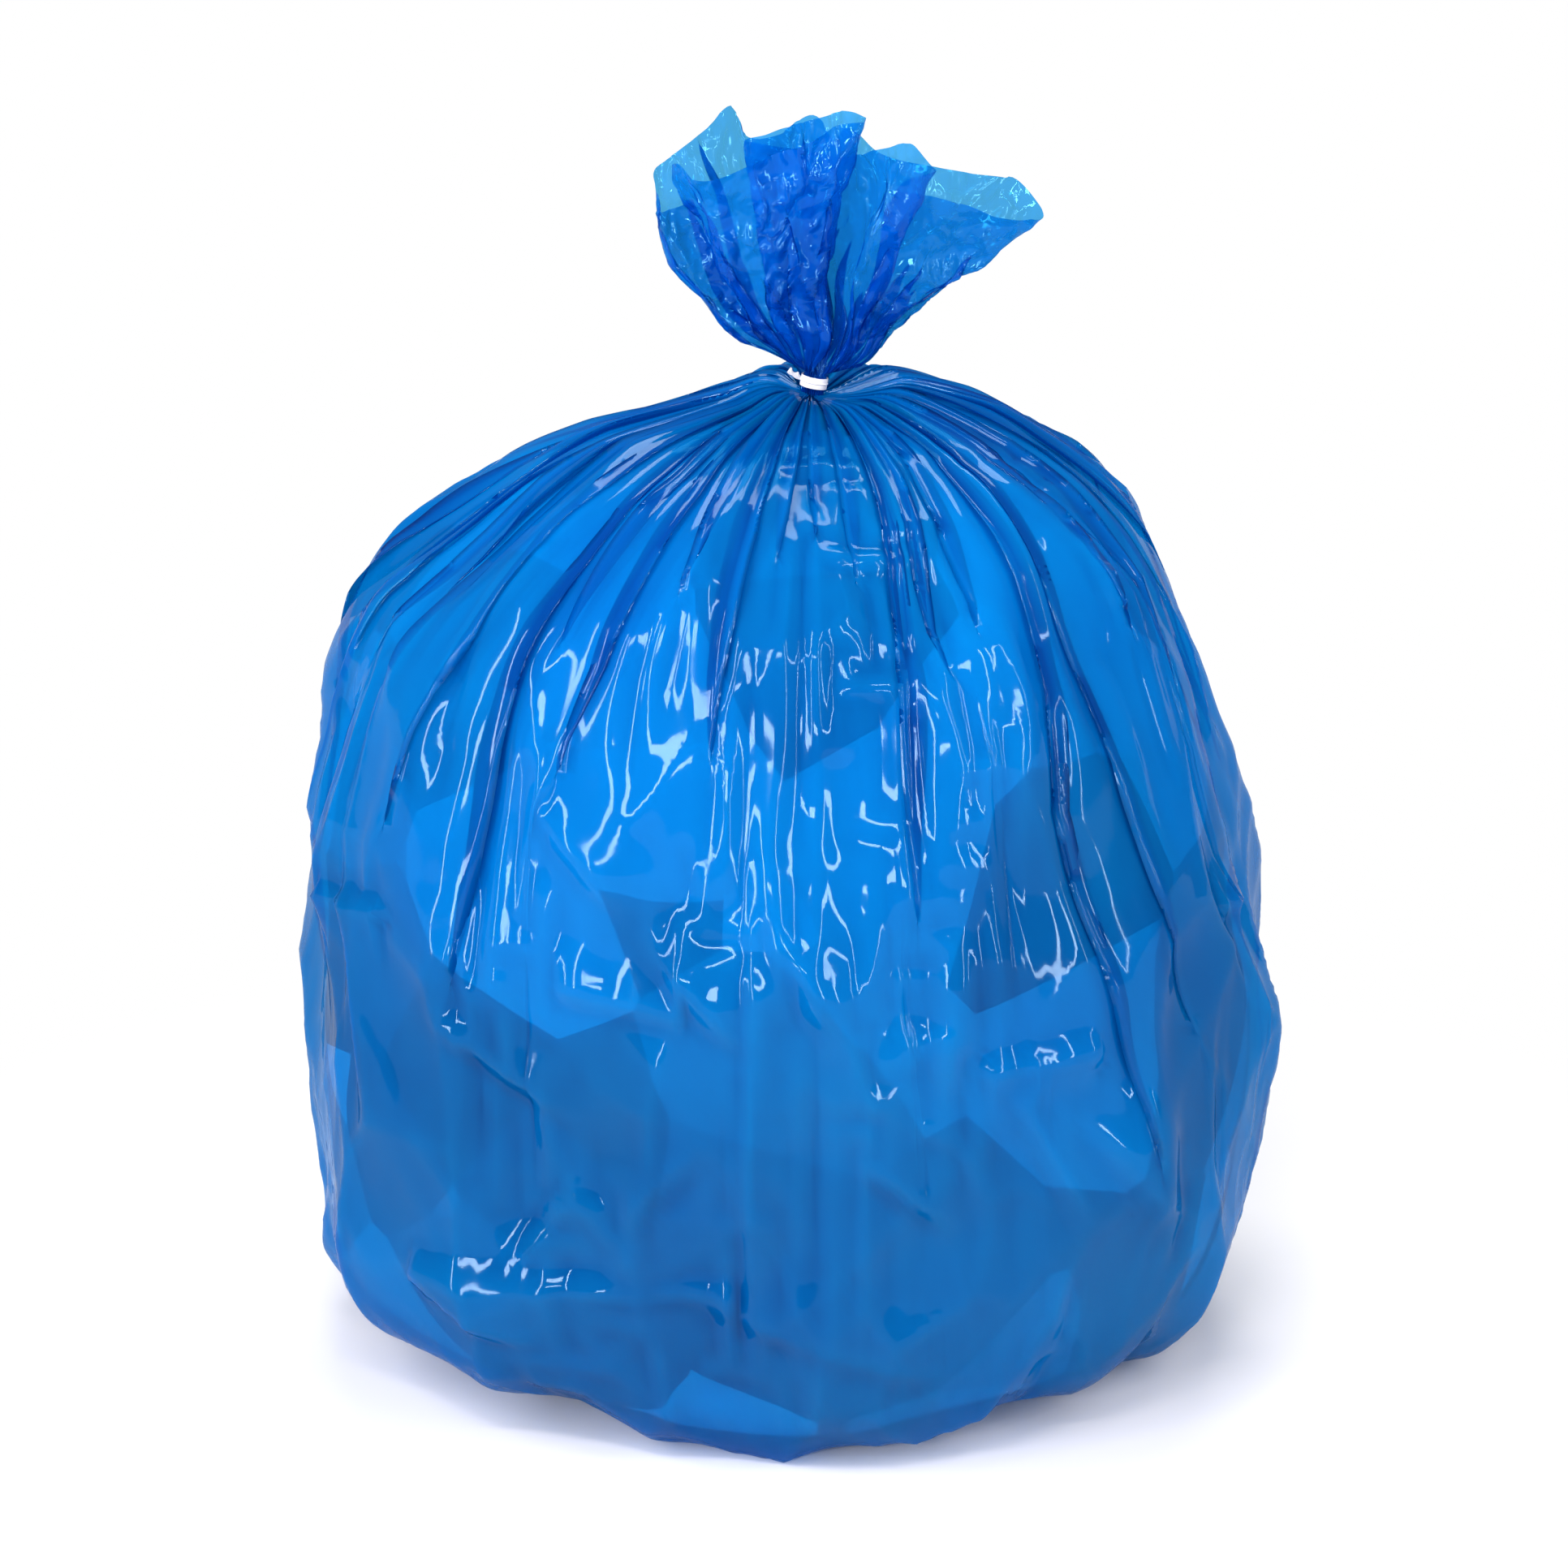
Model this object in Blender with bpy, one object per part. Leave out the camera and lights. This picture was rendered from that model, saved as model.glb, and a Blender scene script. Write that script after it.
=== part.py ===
"""Filled recycling bag of blue film, pleated into a twist tie below its open mouth.

Metres, +Z up, the front towards -Y. The bag stands on the flat of its base, and the
origin is the middle of the footprint, on the ground.
"""

import math

import bmesh
import bpy
from mathutils import Matrix, Vector

# Outline of the filled body on each side, from the foot up to the crown beside the
# neck: (reach from the neck's axis, height as a share of the neck's).
RIGHT_SIDE = [
    (0.146, 0.000), (0.201, 0.050), (0.229, 0.122), (0.240, 0.265), (0.236, 0.443),
    (0.220, 0.602), (0.192, 0.760), (0.160, 0.895), (0.111, 0.975), (0.051, 1.013),
]
BACK_SIDE = [
    (0.140, 0.000), (0.195, 0.028), (0.226, 0.120), (0.238, 0.279), (0.240, 0.459),
    (0.232, 0.658), (0.210, 0.818), (0.165, 0.909), (0.105, 0.965), (0.050, 0.999),
]
LEFT_SIDE = [
    (0.174, 0.000), (0.229, 0.054), (0.259, 0.110), (0.264, 0.259), (0.263, 0.445),
    (0.258, 0.642), (0.236, 0.792), (0.178, 0.901), (0.111, 0.967), (0.047, 0.995),
]
FRONT_SIDE = [
    (0.133, 0.000), (0.188, 0.008), (0.223, 0.110), (0.237, 0.273), (0.239, 0.455),
    (0.228, 0.646), (0.205, 0.806), (0.160, 0.907), (0.105, 0.967), (0.050, 0.997),
]
SQUARENESS = 2.15  # 2 is a round section, more is squarer

# Neck, squeezed round by the tie and leaning with it.
NECK_RADIUS = 0.0060
NECK_LENGTH = 0.0100
NECK_BASE = 0.5015
NECK_LEAN = math.radians(11)
LEAN_FADE = 0.030

# Open mouth above the neck: (degrees from +X, reach, rise) of points along its rim,
# measured from the middle of the neck.
RIM = [
    (2, 0.114, 0.085), (12, 0.103, 0.099), (22, 0.085, 0.101), (36, 0.067, 0.104),
    (50, 0.052, 0.110), (61, 0.044, 0.126), (90, 0.040, 0.131), (117, 0.038, 0.122),
    (136, 0.044, 0.120), (144, 0.051, 0.136), (159, 0.062, 0.124), (175, 0.080, 0.105),
    (185, 0.077, 0.090), (196, 0.066, 0.113), (219, 0.050, 0.112), (251, 0.040, 0.122),
    (298, 0.035, 0.135), (308, 0.038, 0.126), (316, 0.060, 0.126), (326, 0.066, 0.115),
    (342, 0.067, 0.098), (354, 0.092, 0.088),
]
FLARE_RIGHT = 0.85  # 1 is a straight cone, less swells out sooner
FLARE_LEFT = 0.58
FILM_STOCK = 0.0015
THROAT_DEPTH = 0.92  # share of the mouth's height that stays open

# Knife pleats that run down from the neck, the front ones by hand: (overlap, hand,
# [(degrees from +X, height) down to the tip]). Hand is 1 where the upper layer ends
# towards larger angles.
FRONT_PLEATS = [
    (0.008, 1, [(194, 0.49), (195, 0.43), (194, 0.36)]),
    (0.009, -1, [(200, 0.49), (202, 0.43), (200, 0.365)]),
    (0.008, 1, [(206, 0.49), (208, 0.45), (205, 0.376)]),
    (0.009, -1, [(212, 0.49), (213, 0.46), (209, 0.42), (207, 0.36)]),
    (0.009, 1, [(222, 0.47), (220, 0.41), (216, 0.36), (212.5, 0.28)]),
    (0.014, 1, [(231, 0.46), (229, 0.39), (228, 0.36), (227.5, 0.31), (226, 0.21)]),
    (0.008, -1, [(237, 0.48), (235, 0.44), (234, 0.39)]),
    (0.011, 1, [(243, 0.47), (241, 0.40), (238.5, 0.37), (237, 0.325)]),
    (0.008, -1, [(250, 0.48), (250, 0.45), (249, 0.415)]),
    (0.013, 1, [(257, 0.48), (256.5, 0.44), (256.5, 0.40), (257.5, 0.34)]),
    (0.008, 1, [(263, 0.48), (263.5, 0.44)]),
    (0.007, -1, [(270, 0.48), (270, 0.45)]),
    (0.009, -1, [(278, 0.48), (276.5, 0.43)]),
    (0.014, -1, [(285.5, 0.48), (283, 0.42), (282, 0.33), (282, 0.255)]),
    (0.009, 1, [(290, 0.48), (287, 0.42), (289.5, 0.38)]),
    (0.010, 1, [(296, 0.48), (294.5, 0.43), (292.5, 0.40)]),
    (0.013, -1, [(305, 0.48), (305, 0.44), (301.5, 0.34), (305, 0.28), (310, 0.19), (313, 0.11)]),
    (0.012, -1, [(311, 0.48), (310, 0.42), (312, 0.36), (317, 0.27), (325, 0.17)]),
    (0.009, 1, [(319, 0.48), (324, 0.44), (325, 0.39)]),
    (0.007, -1, [(327, 0.48), (329, 0.43)]),
    (0.010, 1, [(336, 0.48), (333, 0.43), (332.5, 0.36)]),
    (0.008, -1, [(345, 0.48), (345, 0.40)]),
]
HIDDEN_PLEATS = 20
HIDDEN_TIPS = (0.40, 0.30, 0.43, 0.17, 0.36)
LAYER_GAP = 0.0011
PLEAT_SINK = 0.0045
STEP_WIDTH = 0.0015
MOUTH_FOLD_DEPTH = 0.0075

# Ridges pulled across the body: (degrees, height) twice, rise, half width.
RIDGES = [
    ((236, 0.340), (249, 0.289), 0.0040, 0.012), ((249, 0.289), (263, 0.228), 0.0055, 0.014),
    ((285.5, 0.292), (285, 0.200), 0.0060, 0.018), ((266, 0.295), (272, 0.236), 0.0050, 0.016),
    ((246, 0.130), (258, 0.190), 0.0030, 0.020), ((300, 0.200), (318, 0.110), 0.0035, 0.020),
    ((205, 0.300), (213, 0.150), 0.0035, 0.016), ((214, 0.100), (240, 0.068), 0.0040, 0.014),
    ((250, 0.110), (290, 0.060), 0.0030, 0.022), ((330, 0.330), (340, 0.160), 0.0035, 0.016),
    ((20, 0.350), (34, 0.180), 0.0035, 0.016), ((75, 0.330), (60, 0.170), 0.0040, 0.018),
    ((110, 0.300), (124, 0.140), 0.0035, 0.016), ((160, 0.350), (150, 0.190), 0.0040, 0.018),
    ((40, 0.120), (80, 0.080), 0.0035, 0.020),
]

# Dents between the things inside: (degrees, height, size, depth).
DENTS = [
    (248, 0.26, 0.040, 0.0060), (275, 0.34, 0.035, 0.0050), (300, 0.30, 0.035, 0.0050),
    (235, 0.16, 0.050, 0.0060), (270, 0.12, 0.050, 0.0040), (318, 0.24, 0.040, 0.0060),
    (210, 0.22, 0.050, 0.0070), (340, 0.26, 0.050, 0.0060), (290, 0.16, 0.045, 0.0050),
    (255, 0.40, 0.030, 0.0040), (325, 0.10, 0.040, 0.0050), (20, 0.20, 0.050, 0.0070),
    (45, 0.33, 0.045, 0.0060), (70, 0.22, 0.050, 0.0070), (95, 0.12, 0.050, 0.0060),
    (115, 0.34, 0.045, 0.0060), (140, 0.24, 0.050, 0.0070), (165, 0.14, 0.050, 0.0060),
    (185, 0.32, 0.045, 0.0060), (55, 0.08, 0.040, 0.0050),
]

# Loose folds that wander across the slack film, strongest below the shoulder:
# (turns, turns for each metre up, wander, share of the rise).
LOOSE_FOLDS = [(3.5, 11.0, 0.9, 1.0), (5.0, -16.0, 1.1, 0.6), (9.5, 27.0, 0.8, 0.35)]
LOOSE_RISE = 0.0042

# Tucks where the film folds under the base.
TUCK_ANGLES = (211, 232, 297, 322, 40, 128)
TUCK_DEPTH = 0.0070
TUCK_HEIGHT = 0.060
TUCK_WIDTH = math.radians(6)

# Rings of the loft.
BODY_RINGS = 26
MOUTH_RINGS = 10
LINER_RINGS = 7

# Twist tie: a wired strip round the neck, its ends twisted together behind the left.
TIE_CLEARANCE = 0.0003
TIE_WIDTH = 0.0055
TIE_THICKNESS = 0.0006
TIE_WIRE_RADIUS = 0.0004
TIE_STEPS = 48
TAIL_ANGLE = math.radians(125)
TAIL_LENGTH = 0.015
TAIL_WIDTH = 0.0034
TAIL_THICKNESS = 0.0012
TAIL_TURNS = 1.25
TAIL_RISE = 0.0020
TAIL_RINGS = 18

FILM_BLUE = (0.002, 0.190, 0.680, 1.0)
TIE_WHITE = (0.860, 0.840, 0.860, 1.0)

PLEAT_COUNT = len(FRONT_PLEATS) + HIDDEN_PLEATS
COLUMNS = 3 * PLEAT_COUNT  # the lip and the foot of each pleat, and the middle of a panel
NECK_TOP = NECK_BASE + NECK_LENGTH
NECK_MIDDLE = NECK_BASE + NECK_LENGTH / 2


def clear_scene():
    for item in list(bpy.data.objects):
        bpy.data.objects.remove(item, do_unlink=True)


def smoothstep(value):
    value = min(1.0, max(0.0, value))
    return value * value * (3.0 - 2.0 * value)


def spline_point(points, place):
    """Point of a Catmull-Rom curve; place counts the given points from 0."""
    last = len(points) - 1
    start = min(int(place), last - 1)
    t = place - start
    b, c = points[start], points[start + 1]
    a = points[start - 1] if start > 0 else [2 * p - q for p, q in zip(b, c)]
    d = points[start + 2] if start + 2 <= last else [2 * q - p for p, q in zip(b, c)]
    return [
        0.5 * (2 * q + (r - p) * t + (2 * p - 5 * q + 4 * r - s) * t ** 2
               + (3 * q - p - 3 * r + s) * t ** 3)
        for p, q, r, s in zip(a, b, c, d)
    ]


def side_outlines():
    """The four side outlines, each ending at the neck."""
    neck = (NECK_RADIUS, 1.0)
    sides = (RIGHT_SIDE, BACK_SIDE, LEFT_SIDE, FRONT_SIDE)
    return [[(reach, share * NECK_BASE) for reach, share in side + [neck]] for side in sides]


def body_outline(outlines, angle, place):
    """Reach and height of the body at an angle, blended between two sides."""
    right, back, left, front = [spline_point(side, place) for side in outlines]
    along, across = math.cos(angle), math.sin(angle)
    x_side = right if along >= 0 else left
    y_side = back if across >= 0 else front
    reach = ((abs(along) / x_side[0]) ** SQUARENESS
             + (abs(across) / y_side[0]) ** SQUARENESS) ** (-1 / SQUARENESS)
    height = x_side[1] * along ** 2 + y_side[1] * across ** 2
    return reach, height


def outward(outlines, angle, place):
    """Unit normal of the body's outline in the plane of reach and height."""
    last = len(outlines[0]) - 1
    low = body_outline(outlines, angle, max(0.0, place - 0.05))
    high = body_outline(outlines, angle, min(last, place + 0.05))
    rise, run = high[1] - low[1], high[0] - low[0]
    length = math.hypot(rise, run)
    return rise / length, -run / length


def even_angle(index):
    """Angle of a pleat if they all stood evenly, the front ones about the front."""
    middle = (len(FRONT_PLEATS) - 1) / 2
    return math.radians(270) + 2 * math.pi * (index - middle) / PLEAT_COUNT


def interpolate(value, stations, results):
    """Straight-line interpolation, held at both ends."""
    if value <= stations[0]:
        return results[0]
    for a, b, p, q in zip(stations, stations[1:], results, results[1:]):
        if value <= b:
            return p + (q - p) * (value - a) / (b - a)
    return results[-1]


class Slope:
    """Distances down the body's mean outline, from the neck to the foot."""

    def __init__(self, outlines, steps=400):
        last = len(outlines[0]) - 1
        self.places = [last * (1 - step / steps) for step in range(steps + 1)]
        angles = [math.radians(turn) for turn in range(8, 360, 15)]
        means = []
        for place in self.places:
            points = [body_outline(outlines, angle, place) for angle in angles]
            means.append([sum(values) / len(angles) for values in zip(*points)])
        self.heights = [height for _, height in means]
        self.reaches = [reach for reach, _ in means]
        self.runs = [0.0]
        for low, high in zip(means, means[1:]):
            self.runs.append(self.runs[-1] + math.dist(low, high))

    def run_at_height(self, level):
        nearest = min(range(len(self.runs)), key=lambda index: abs(self.heights[index] - level))
        return self.runs[nearest]

    def at_place(self, place):
        """Distance from the neck, and mean reach, at a place of the outlines."""
        share = (self.places[0] - place) / self.places[0]
        index = min(len(self.runs) - 1, round(share * (len(self.runs) - 1)))
        return self.runs[index], self.reaches[index]


class Pleat:
    """A knife pleat: overlapped film that runs down from the neck to its tip."""

    def __init__(self, index, slope, overlap, hand, path):
        self.index, self.overlap, self.hand = index, overlap, hand
        self.runs = [slope.run_at_height(height) for _, height in path]
        self.turns = [math.radians(turn) for turn, _ in path]
        self.tip = self.runs[-1]
        self.runs.append(max(slope.runs[-1], self.tip + 0.05))
        self.turns.append(even_angle(index))
        self.mouth_length = 0.35 + 0.9 * (index * 0.618 % 1.0)

    def angle_at(self, run):
        return interpolate(run, self.runs, self.turns)

    def fold_at(self, run):
        return smoothstep((self.tip - run) / (0.35 * self.tip))


def all_pleats(slope):
    """The front's pleats, and more of their kind spaced evenly round the back."""
    first, last = FRONT_PLEATS[0][2][0][0], FRONT_PLEATS[-1][2][0][0]
    gap = (360 + first - last) / (HIDDEN_PLEATS + 1)
    rows = list(FRONT_PLEATS)
    for index in range(HIDDEN_PLEATS):
        turn = last + gap * (index + 1) + 2 * math.sin(5 * index)
        sway = 5 * math.sin(3 * index + 1)
        tip = HIDDEN_TIPS[index % len(HIDDEN_TIPS)] + 0.03 * math.sin(2 * index)
        overlap = 0.010 + 0.003 * math.sin(4 * index)
        path = [(turn, 0.48), (turn + 0.4 * sway, (0.48 + tip) / 2), (turn + sway, tip)]
        rows.append((overlap, 1 if math.sin(7 * index) > 0 else -1, path))
    return [Pleat(index, slope, *row) for index, row in enumerate(rows)]


def pleat_angles(pleats, run):
    """Angles of all the pleats at a distance from the neck, kept in order."""
    angles = [pleats[0].angle_at(run)]
    for pleat in pleats[1:]:
        angles.append(max(pleat.angle_at(run), angles[-1] + 0.02))
    return angles


def ring_columns(pleats, run, reach):
    """(angle, rise) of each column: lip, foot and panel middle of every pleat, in order."""
    angles = pleat_angles(pleats, run)
    closed = [angles[-1] - 2 * math.pi] + angles + [angles[0] + 2 * math.pi]
    lift = 2 * min(LAYER_GAP, 0.10 * reach)
    sink = min(PLEAT_SINK, 0.12 * reach)
    level = -lift * (1 - smoothstep(run / 0.02))
    columns = []
    for index, pleat in enumerate(pleats):
        before, angle, after = closed[index:index + 3]
        side = after - angle if pleat.hand > 0 else angle - before
        fold = pleat.fold_at(run)
        even = 2 * math.pi / COLUMNS
        lip = min(pleat.overlap / 2 / reach, 0.38 * min(after - angle, angle - before)) * fold
        step = min(STEP_WIDTH / reach, 0.06 * side) * fold + min(even, 0.25 * side) * (1 - fold)
        rises = [(lip, level + lift * fold), (lip + step, level)]
        pair = []
        for offset, rise in rises:
            dip = sink * fold * (1 - min(1.0, 2 * offset / side)) ** 2
            pair.append((angle + pleat.hand * offset, rise - dip))
        columns.extend(pair if pleat.hand > 0 else reversed(pair))
        columns.append(((angle + after) / 2, level))
    return columns


def across_surface(angle, reach, height, place):
    """Offset round and up the surface from a point to a place in degrees and height."""
    turn = math.remainder(math.radians(place[0]) - angle, 2 * math.pi)
    return Vector((turn * reach, place[1] - height))


def ridge_rise(angle, reach, height):
    """Rise of the ridges, sharp along their tops and tapered at their ends."""
    rise = 0.0
    for start, end, tall, wide in RIDGES:
        a = across_surface(angle, reach, height, start)
        along = across_surface(angle, reach, height, end) - a
        share = min(1.0, max(0.0, -a.dot(along) / along.length_squared))
        away = (a + share * along).length
        taper = smoothstep(3 * share) * smoothstep(3 * (1 - share))
        rise += tall * taper * max(0.0, 1 - away / wide) ** 1.5
    return rise


def dent_depth(angle, reach, height):
    """Depth of the soft hollows between the things inside."""
    depth = 0.0
    for turn, level, size, deep in DENTS:
        away = across_surface(angle, reach, height, (turn, level)).length
        depth += deep * math.exp(-(away / size) ** 2)
    return depth


def loose_rise(angle, height):
    """Rise of the loose folds: each is a wandering wave with sharp tops."""
    rise = 0.0
    for turns, climb, wander, share in LOOSE_FOLDS:
        sway = wander * math.sin(2 * angle + climb * height + turns)
        rise += share * (0.64 - abs(math.sin(turns * angle + climb * height + sway)))
    return LOOSE_RISE * rise * (1.0 - 0.7 * smoothstep((height - 0.20) / 0.16))


def tuck_depth(angle, height):
    """Depth of the folds that run up from the edge of the base."""
    fade = smoothstep(height / (0.3 * TUCK_HEIGHT)) * smoothstep(1.0 - height / TUCK_HEIGHT)
    turns = [math.remainder(angle - math.radians(tuck), 2 * math.pi) for tuck in TUCK_ANGLES]
    return TUCK_DEPTH * fade * sum(math.exp(-(turn / TUCK_WIDTH) ** 2) for turn in turns)


def lean(point):
    """Tilts the neck about the middle of the tie, fading out above and below."""
    centre = Vector((0.0, 0.0, NECK_MIDDLE))
    away = (point - centre).length
    turn = NECK_LEAN * smoothstep(1.6 - away / LEAN_FADE)
    return centre + Matrix.Rotation(turn, 3, "Y") @ (point - centre)


def body_ring(outlines, slope, pleats, place):
    """Vertices of one ring of the body; place runs from the foot to the neck."""
    run, mean_reach = slope.at_place(place)
    at_neck = place == len(outlines[0]) - 1
    ring = []
    for angle, rise in ring_columns(pleats, run, mean_reach):
        reach, height = body_outline(outlines, angle, place)
        out, up = (1.0, 0.0) if at_neck else outward(outlines, angle, place)
        if place > 0:
            rise += ridge_rise(angle, reach, height)
            rise += loose_rise(angle, height) * smoothstep((run - 0.03) / 0.10)
            rise -= dent_depth(angle, reach, height) + tuck_depth(angle, height)
        reach += rise * out
        height = max(0.0, height + rise * up)
        ring.append(lean(Vector((reach * math.cos(angle), reach * math.sin(angle), height))))
    return ring


def rim_point(angle):
    """Reach and rise of the mouth's rim at an angle."""
    degrees = math.degrees(angle) % 360.0
    points = [(RIM[-1][0] - 360.0,) + RIM[-1][1:]] + RIM + [(RIM[0][0] + 360.0,) + RIM[0][1:]]
    for before, after in zip(points, points[1:]):
        if before[0] <= degrees <= after[0]:
            t = (degrees - before[0]) / (after[0] - before[0])
            return [p + (q - p) * t for p, q in zip(before[1:], after[1:])]
    return RIM[0][1:]


def mouth_ring(pleats, share, inset):
    """Vertices of one ring of the mouth; inset moves it in by the film's stock."""
    columns = ring_columns(pleats, 0.0, NECK_RADIUS)
    ring = []
    for index, (neck_angle, _) in enumerate(columns):
        pleat, role = pleats[index // 3], index % 3
        even = even_angle(pleat.index) + 2 * math.pi * (role - 0.5) / COLUMNS
        angle = neck_angle + (even - neck_angle) * smoothstep(3 * share)
        rim_reach, rim_rise = rim_point(angle)
        swell = 0.5 * (FLARE_RIGHT + FLARE_LEFT) + 0.5 * (FLARE_RIGHT - FLARE_LEFT) * math.cos(angle)
        reach = NECK_RADIUS + (rim_reach - NECK_RADIUS) * share ** swell
        height = NECK_TOP + (rim_rise - NECK_LENGTH / 2) * share
        valley = (1.0 if role == (1 if pleat.hand > 0 else 0) else 0.0) + (0.35 if role == 2 else 0.0)
        depth = min(0.20 * reach, MOUTH_FOLD_DEPTH) * smoothstep(1.4 - share / pleat.mouth_length)
        reach -= valley * depth + inset
        ring.append(lean(Vector((reach * math.cos(angle), reach * math.sin(angle), height))))
    return ring


def film_rings():
    """All the rings of the loft, from the foot up over the rim and down the inside."""
    outlines = side_outlines()
    slope = Slope(outlines)
    pleats = all_pleats(slope)
    last = len(outlines[0]) - 1
    rings = []
    for step in range(BODY_RINGS + 1):
        rings.append(body_ring(outlines, slope, pleats, last * step / BODY_RINGS))
    for step in range(MOUTH_RINGS + 1):
        rings.append(mouth_ring(pleats, (step / MOUTH_RINGS) ** 1.3, 0.0))
    for step in range(LINER_RINGS + 1):
        share = 1.0 - THROAT_DEPTH * step / LINER_RINGS
        rings.append(mouth_ring(pleats, share, FILM_STOCK))
    return rings


def cap(mesh, ring, centre, upwards):
    """Closes a ring with a fan of triangles round a middle vertex."""
    middle = mesh.verts.new(centre)
    for index, vertex in enumerate(ring):
        following = ring[(index + 1) % len(ring)]
        corners = (vertex, following, middle) if upwards else (following, vertex, middle)
        mesh.faces.new(corners)


def loft(rings):
    """Closed mesh through the rings, with a flat foot and a closed throat."""
    mesh = bmesh.new()
    loops = [[mesh.verts.new(point) for point in ring] for ring in rings]
    for low, high in zip(loops, loops[1:]):
        for index in range(COLUMNS):
            following = (index + 1) % COLUMNS
            mesh.faces.new((low[index], low[following], high[following], high[index]))
    cap(mesh, loops[0], Vector((0.0, 0.0, 0.0)), upwards=False)
    throat = sum(rings[-1], Vector()) / COLUMNS
    cap(mesh, loops[-1], throat, upwards=True)
    bmesh.ops.recalc_face_normals(mesh, faces=mesh.faces)
    return mesh


def strip_profile():
    """Section of the tie's strip, (out from the neck, up), with the wire's rib."""
    inner = NECK_RADIUS + TIE_CLEARANCE
    outer = inner + TIE_THICKNESS
    edge = TIE_WIDTH / 2
    rib = outer + TIE_WIRE_RADIUS
    return [
        (inner, -edge), (outer, -edge), (outer, -1.5 * TIE_WIRE_RADIUS), (rib, 0.0),
        (outer, 1.5 * TIE_WIRE_RADIUS), (outer, edge), (inner, edge),
    ]


def band_mesh():
    """The strip's turn round the neck."""
    mesh = bmesh.new()
    profile = strip_profile()
    section = [mesh.verts.new((reach, 0.0, height)) for reach, height in profile]
    edges = [mesh.edges.new((a, b)) for a, b in zip(section, section[1:] + section[:1])]
    bmesh.ops.spin(
        mesh, geom=section + edges, cent=(0, 0, 0), axis=(0, 0, 1),
        angle=2 * math.pi, steps=TIE_STEPS, use_merge=True,
    )
    bmesh.ops.remove_doubles(mesh, verts=mesh.verts, dist=0.00001)
    bmesh.ops.recalc_face_normals(mesh, faces=mesh.faces)
    return mesh


def tail_mesh():
    """The two ends of the strip twisted into one flat spiral, outwards along +X."""
    mesh = bmesh.new()
    start = NECK_RADIUS + TIE_CLEARANCE + TIE_THICKNESS / 2
    half_width, half_thick = TAIL_WIDTH / 2, TAIL_THICKNESS / 2
    corners = [(-half_thick, -half_width), (half_thick, -half_width),
               (half_thick, half_width), (-half_thick, half_width)]
    loops = []
    for step in range(TAIL_RINGS + 1):
        share = step / TAIL_RINGS
        turn = 2 * math.pi * TAIL_TURNS * max(0.0, share - 0.1)
        twist = Matrix.Rotation(turn, 3, "X")
        centre = Vector((start + TAIL_LENGTH * share, 0.0, TAIL_RISE * share ** 2))
        loops.append([mesh.verts.new(centre + twist @ Vector((0.0, y, z))) for y, z in corners])
    for low, high in zip(loops, loops[1:]):
        for index in range(4):
            following = (index + 1) % 4
            mesh.faces.new((low[index], low[following], high[following], high[index]))
    mesh.faces.new(loops[0])
    mesh.faces.new(loops[-1])
    bmesh.ops.recalc_face_normals(mesh, faces=mesh.faces)
    return mesh


def principled(name, colour, roughness):
    material = bpy.data.materials.new(name)
    material.use_nodes = True
    shader = material.node_tree.nodes["Principled BSDF"]
    shader.inputs["Base Color"].default_value = colour
    shader.inputs["Roughness"].default_value = roughness
    shader.inputs["Metallic"].default_value = 0.0
    material.diffuse_color = colour
    return material


def add_object(name, mesh, material, collection):
    data = bpy.data.meshes.new(name)
    mesh.to_mesh(data)
    mesh.free()
    data.materials.append(material)
    data.shade_smooth()
    data.set_sharp_from_angle(angle=math.radians(40))
    item = bpy.data.objects.new(name, data)
    collection.objects.link(item)
    return item


def make_collection(name):
    collection = bpy.data.collections.new(name)
    bpy.context.scene.collection.children.link(collection)
    return collection


def add_bag(collection):
    film = principled("blue_film", FILM_BLUE, 0.22)
    return add_object("bag", loft(film_rings()), film, collection)


def add_tie(collection, tools):
    white = principled("white_strip", TIE_WHITE, 0.45)
    tie = add_object("tie", band_mesh(), white, collection)
    tie.location = (0.0, 0.0, NECK_MIDDLE)
    tie.rotation_euler = (0.0, NECK_LEAN, 0.0)
    tail = add_object("tie_tail", tail_mesh(), white, tools)
    tail.location = tie.location
    tail.rotation_euler = (0.0, 0.0, TAIL_ANGLE)
    tail.hide_render = True
    tail.display_type = "WIRE"
    join = tie.modifiers.new("twisted_ends", "BOOLEAN")
    join.operation = "UNION"
    join.solver = "EXACT"
    join.object = tail
    return tie, tail


def stand_on_origin(bag, items, collection):
    """Moves everything so that the footprint's middle is the origin."""
    xs = [vertex.co.x for vertex in bag.data.vertices]
    ys = [vertex.co.y for vertex in bag.data.vertices]
    root = bpy.data.objects.new("recycling_bag_root", None)
    collection.objects.link(root)
    root.location = (-(min(xs) + max(xs)) / 2, -(min(ys) + max(ys)) / 2, 0.0)
    for item in items:
        item.parent = root


def main():
    clear_scene()
    collection = make_collection("recycling_bag")
    tools = make_collection("cutters")
    bag = add_bag(collection)
    tie, tail = add_tie(collection, tools)
    stand_on_origin(bag, (bag, tie, tail), collection)
    bpy.context.view_layer.update()


main()
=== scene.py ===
"""Looks for the filled recycling bag: thin blue film, pleated, creased and tied."""
import math

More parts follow.
